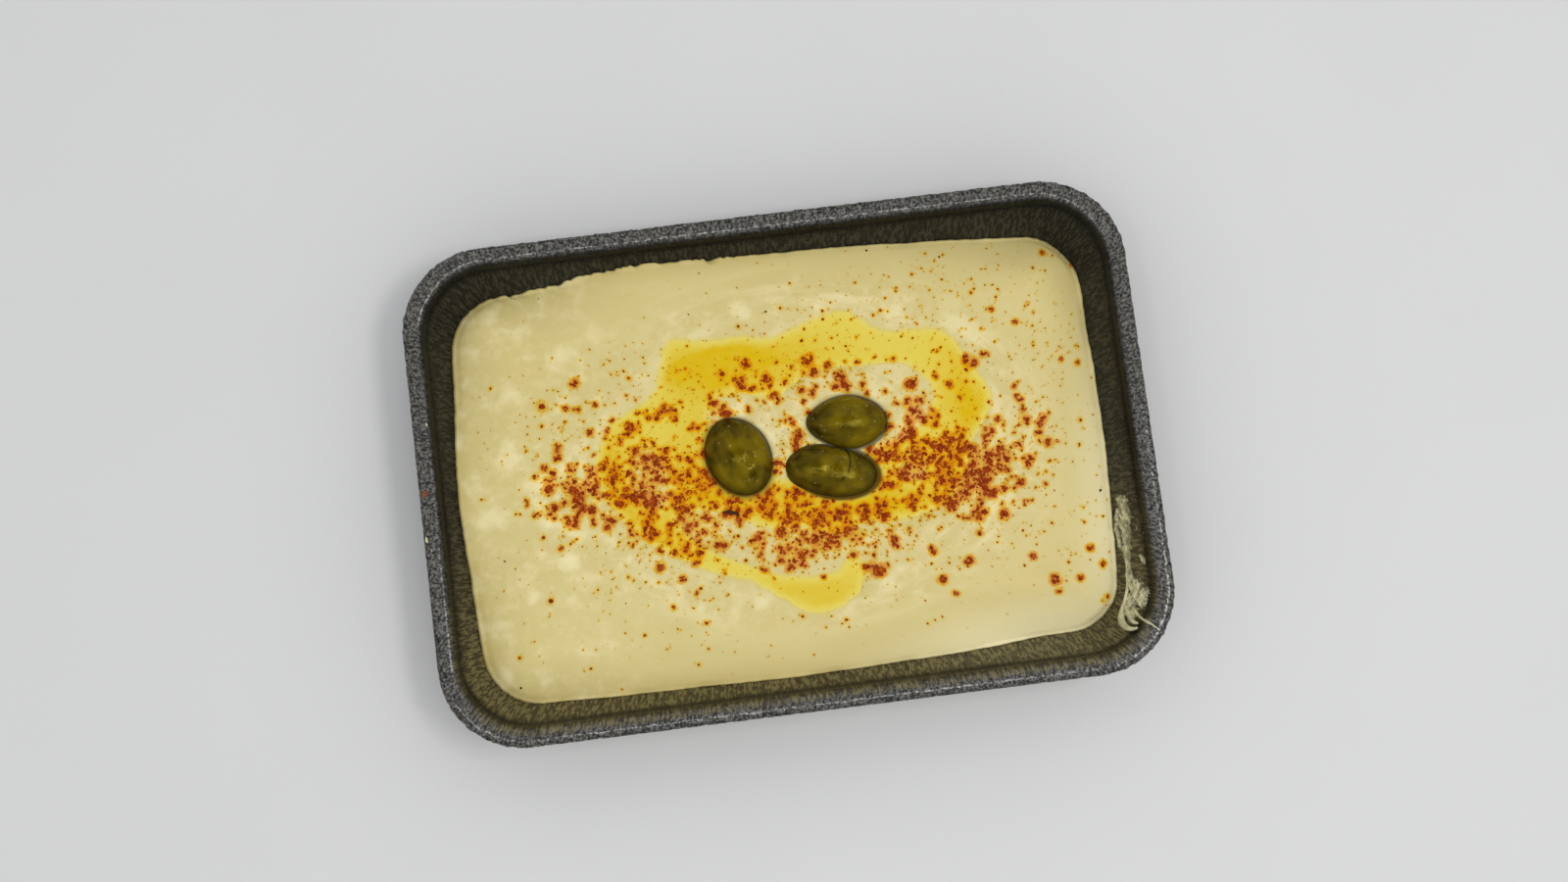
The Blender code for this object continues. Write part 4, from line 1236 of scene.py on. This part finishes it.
def foam_material():
    mat, tree, shader, place = new_material("black foam", Roughness=0.36, Specular_IOR_Level=0.25,
                                            Coat_Roughness=0.13)
    wrapped = node(tree, "ShaderNodeVectorMath", {"operation": "SCALE"}, Scale=MM)
    put(tree, wrapped.inputs[0], field(tree, "foam", "Vector"))
    drawn = node(tree, "ShaderNodeMapping", None, Vector=wrapped.outputs[0])
    drawn.inputs["Scale"].default_value = (1.0, 1.0, 0.3)
    rim = field(tree, "rim")
    beads = mottle(tree, drawn.outputs[0], 1050.0, 3.0, 0.48, 0.06)
    clouds = mottle(tree, wrapped.outputs[0], 300.0, 3.0, 0.5, 0.2)
    glints = mottle(tree, wrapped.outputs[0], 1250.0, 3.0, 0.47, 0.13)
    colour = mixed(tree, beads, FOAM_DARK, mixed(tree, clouds, FOAM_WALL, FOAM_MID))
    # Painted reflection: away from the rim, the foam towards the front is painted brown, as the paste's
    # light reflected in the front inner wall; the mask takes in the outside of the front wall too.
    parts = node(tree, "ShaderNodeSeparateXYZ", None, Vector=place)
    front = ramp(tree, parts.outputs["Y"], 0.0, -0.062, 0.0, 1.0)
    front_reflection = times(tree, sum_of(tree, "SUBTRACT", 1.0, rim), front)
    film = times(tree, front_reflection, sum_of(tree, "ADD", beads, 0.35))
    colour = mixed(tree, times(tree, film, 0.8), colour, FOAM_FRONT_REFLECTION)
    # Painted glints: light flecks, many on the rim and few on the walls, standing in for highlights.
    share = times(tree, glints, sum_of(tree, "ADD", times(tree, rim, 0.36), 0.02))
    colour = mixed(tree, share, colour, FOAM_GLINT)
    # Painted shade: the shoulder inside the rim is painted near-black.
    dark = times(tree, field(tree, "shoulder"), 0.95)
    colour = mixed(tree, dark, colour, FOAM_SHOULDER_SHADE)
    pits = effect(tree, "Specks", Vector=drawn.outputs[0], Scale=520.0, Share=0.3, Size=0.34)["Mask"]
    colour = mixed(tree, times(tree, pits, 0.6), colour, FOAM_PITS)
    colour = mixed(tree, rim_stain(tree, place), colour, FOAM_STAIN)
    colour = mixed(tree, spur_mark(tree, place), colour, SMEAR_SPUR)
    tree.links.new(colour, shader.inputs["Base Color"])
    uneven = sum_of(tree, "SUBTRACT", 1.0, times(tree, field(tree, "shoulder"), 0.8))
    rough = ramp(tree, beads, 0.0, 1.0, 0.22, 0.06)
    tree.links.new(sum_of(tree, "ADD", times(tree, rough, uneven), 0.15), shader.inputs["Roughness"])
    tree.links.new(times(tree, field(tree, "polish"), sum_of(tree, "ADD", glints, 0.25)),
                   shader.inputs["Coat Weight"])
    height = effect(tree, "Fine grain", Vector=wrapped.outputs[0], Scale=1150.0, Coarse=0.3)["Height"]
    bump(tree, shader, times(tree, height, uneven), 0.9, 0.7)
    return mat


def rim_stain(tree, place):
    """A small orange mark on the left rim."""
    away = node(tree, "ShaderNodeVectorMath", {"operation": "DISTANCE"})
    put(tree, away.inputs[0], place)
    put(tree, away.inputs[1], RIM_MARK)
    return ramp(tree, away.outputs["Value"], 0.4 * MM, 1.7 * MM, 0.75, 0.0)


def spur_mark(tree, place):
    """The thin end of the spur of paste, where it lies over the rim."""
    start, end = np.array(SPUR_END)
    turned = node(tree, "ShaderNodeMapping", {"vector_type": "TEXTURE"}, Vector=place)
    turned.inputs["Location"].default_value = (*((start + end) / 2 * MM).tolist(), 0.0)
    turned.inputs["Rotation"].default_value = (0, 0, math.atan2(*(end - start)[::-1]))
    parts = node(tree, "ShaderNodeSeparateXYZ", None, Vector=turned.outputs[0])
    half = float(np.hypot(*(end - start))) / 2
    width = ramp(tree, parts.outputs["X"], -half * MM, half * MM, 0.42 * MM, 0.16 * MM)
    across = sum_of(tree, "DIVIDE", sum_of(tree, "ABSOLUTE", parts.outputs["Y"]), width)
    along = ramp(tree, sum_of(tree, "ABSOLUTE", parts.outputs["X"]), (half - 0.3) * MM, half * MM, 1.0, 0.0)
    top = ramp(tree, parts.outputs["Z"], 24.0 * MM, 24.6 * MM)
    return times(tree, times(tree, ramp(tree, across, 0.7, 1.1, 0.9, 0.0), along), top)


def smear_material():
    mat, tree, shader, place = new_material("smeared paste", Roughness=0.4, Specular_IOR_Level=0.5)
    cloud = mottle(tree, place, 420.0, 3.0, 0.5, 0.2)
    colour = mixed(tree, cloud, SMEAR_DARK, SMEAR_LIGHT)
    film = sum_of(tree, "ADD", field(tree, "film"), times(tree, cloud, 0.3))
    colour = mixed(tree, ramp(tree, film, 0.15, 0.9, 0.8, 0.0), colour, SMEAR_THIN)
    tree.links.new(colour, shader.inputs["Base Color"])
    height = effect(tree, "Fine grain", Vector=place, Scale=1300.0, Coarse=0.5)["Height"]
    bump(tree, shader, height, 0.3, 0.3)
    return mat


def spice_material():
    mat, tree, shader, place = new_material("paprika", Roughness=0.6, Specular_IOR_Level=0.12)
    tone = field(tree, "tone")
    colour = mixed(tree, ramp(tree, tone, 0.0, 0.6), SPICE_DARK, SPICE)
    colour = mixed(tree, ramp(tree, tone, 0.55, 1.0, 0.0, 0.9), colour, SPICE_LIGHT)
    cloud = mottle(tree, place, 2600.0, 3.0, 0.5, 0.15)
    colour = mixed(tree, times(tree, cloud, 0.4), colour, SPICE)
    tree.links.new(colour, shader.inputs["Base Color"])
    height = effect(tree, "Fine grain", Vector=place, Scale=4000.0, Coarse=0.4)["Height"]
    bump(tree, shader, height, 0.5, 0.2)
    return mat


def pepper_material():
    mat, tree, shader, place = new_material("dark spice", Roughness=0.55, Specular_IOR_Level=0.15)
    cloud = mottle(tree, place, 2200.0, 3.0, 0.5, 0.2)
    colour = mixed(tree, cloud, PEPPER_DARK, PEPPER_LIGHT)
    tree.links.new(colour, shader.inputs["Base Color"])
    height = effect(tree, "Fine grain", Vector=place, Scale=3000.0, Coarse=0.4)["Height"]
    bump(tree, shader, height, 0.5, 0.2)
    return mat


# Stage, light and camera

def build_stage():
    bpy.ops.object.select_all(action="DESELECT")
    bpy.ops.mesh.primitive_plane_add(size=6.0)
    table = bpy.context.object
    table.name = "table_top"
    mat, tree, shader, place = new_material("pale table", Roughness=0.6, Specular_IOR_Level=0.2)
    cloud = mottle(tree, place, 14.0, 3.0, 0.5, 0.3)
    tone = mixed(tree, cloud, STAGE, tuple(value * 1.02 for value in STAGE))
    tree.links.new(tone, shader.inputs["Base Color"])
    table.data.materials.append(mat)


def softbox(name, place, size, power, colour):
    """A rectangular light that faces the middle of the tray."""
    data = bpy.data.lights.new(name, "AREA")
    data.shape = "RECTANGLE"
    data.size, data.size_y = size
    data.energy = power
    data.color = colour
    lamp = bpy.data.objects.new(name, data)
    lamp.location = place
    lamp.rotation_euler = (-Vector(place)).to_track_quat("-Z", "Y").to_euler()
    bpy.context.scene.collection.objects.link(lamp)


def build_light():
    """A dim room with three long soft lights above the front, the right one strongest."""
    world = bpy.data.worlds.new("soft room")
    world.use_nodes = True
    tree = world.node_tree
    background = tree.nodes["Background"]
    facing = node(tree, "ShaderNodeTexCoord").outputs["Generated"]
    height = node(tree, "ShaderNodeSeparateXYZ", None, Vector=facing)
    low = ramp(tree, height.outputs["Z"], 0.05, 0.5, 0.12, 0.94)
    high = ramp(tree, height.outputs["Z"], 0.84, 0.97, 1.0, 0.22)
    put(tree, background.inputs["Strength"], times(tree, low, high))
    background.inputs["Color"].default_value = (0.98, 0.99, 1.0, 1.0)
    bpy.context.scene.world = world
    for light in SOFTBOXES:
        softbox(*light)


def build_camera():
    data = bpy.data.cameras.new("photo view")
    data.lens = CAMERA_LENS
    data.sensor_width = 36.0
    data.clip_start = 0.01
    camera = bpy.data.objects.new("photo view", data)
    right, up = Vector(CAMERA_RIGHT).normalized(), Vector(CAMERA_UP).normalized()
    back = right.cross(up).normalized()
    turn = Matrix((right, back.cross(right), back)).transposed().to_4x4()
    camera.matrix_world = Matrix.Translation(CAMERA_PLACE) @ turn
    bpy.context.scene.collection.objects.link(camera)
    bpy.context.scene.camera = camera
    bpy.context.scene.view_settings.view_transform = "Standard"


build_camera()
build_light()
build_stage()
build_tray()
build_hummus()
build_oil()
build_olives()
build_paprika()
build_pepper()
build_smears()
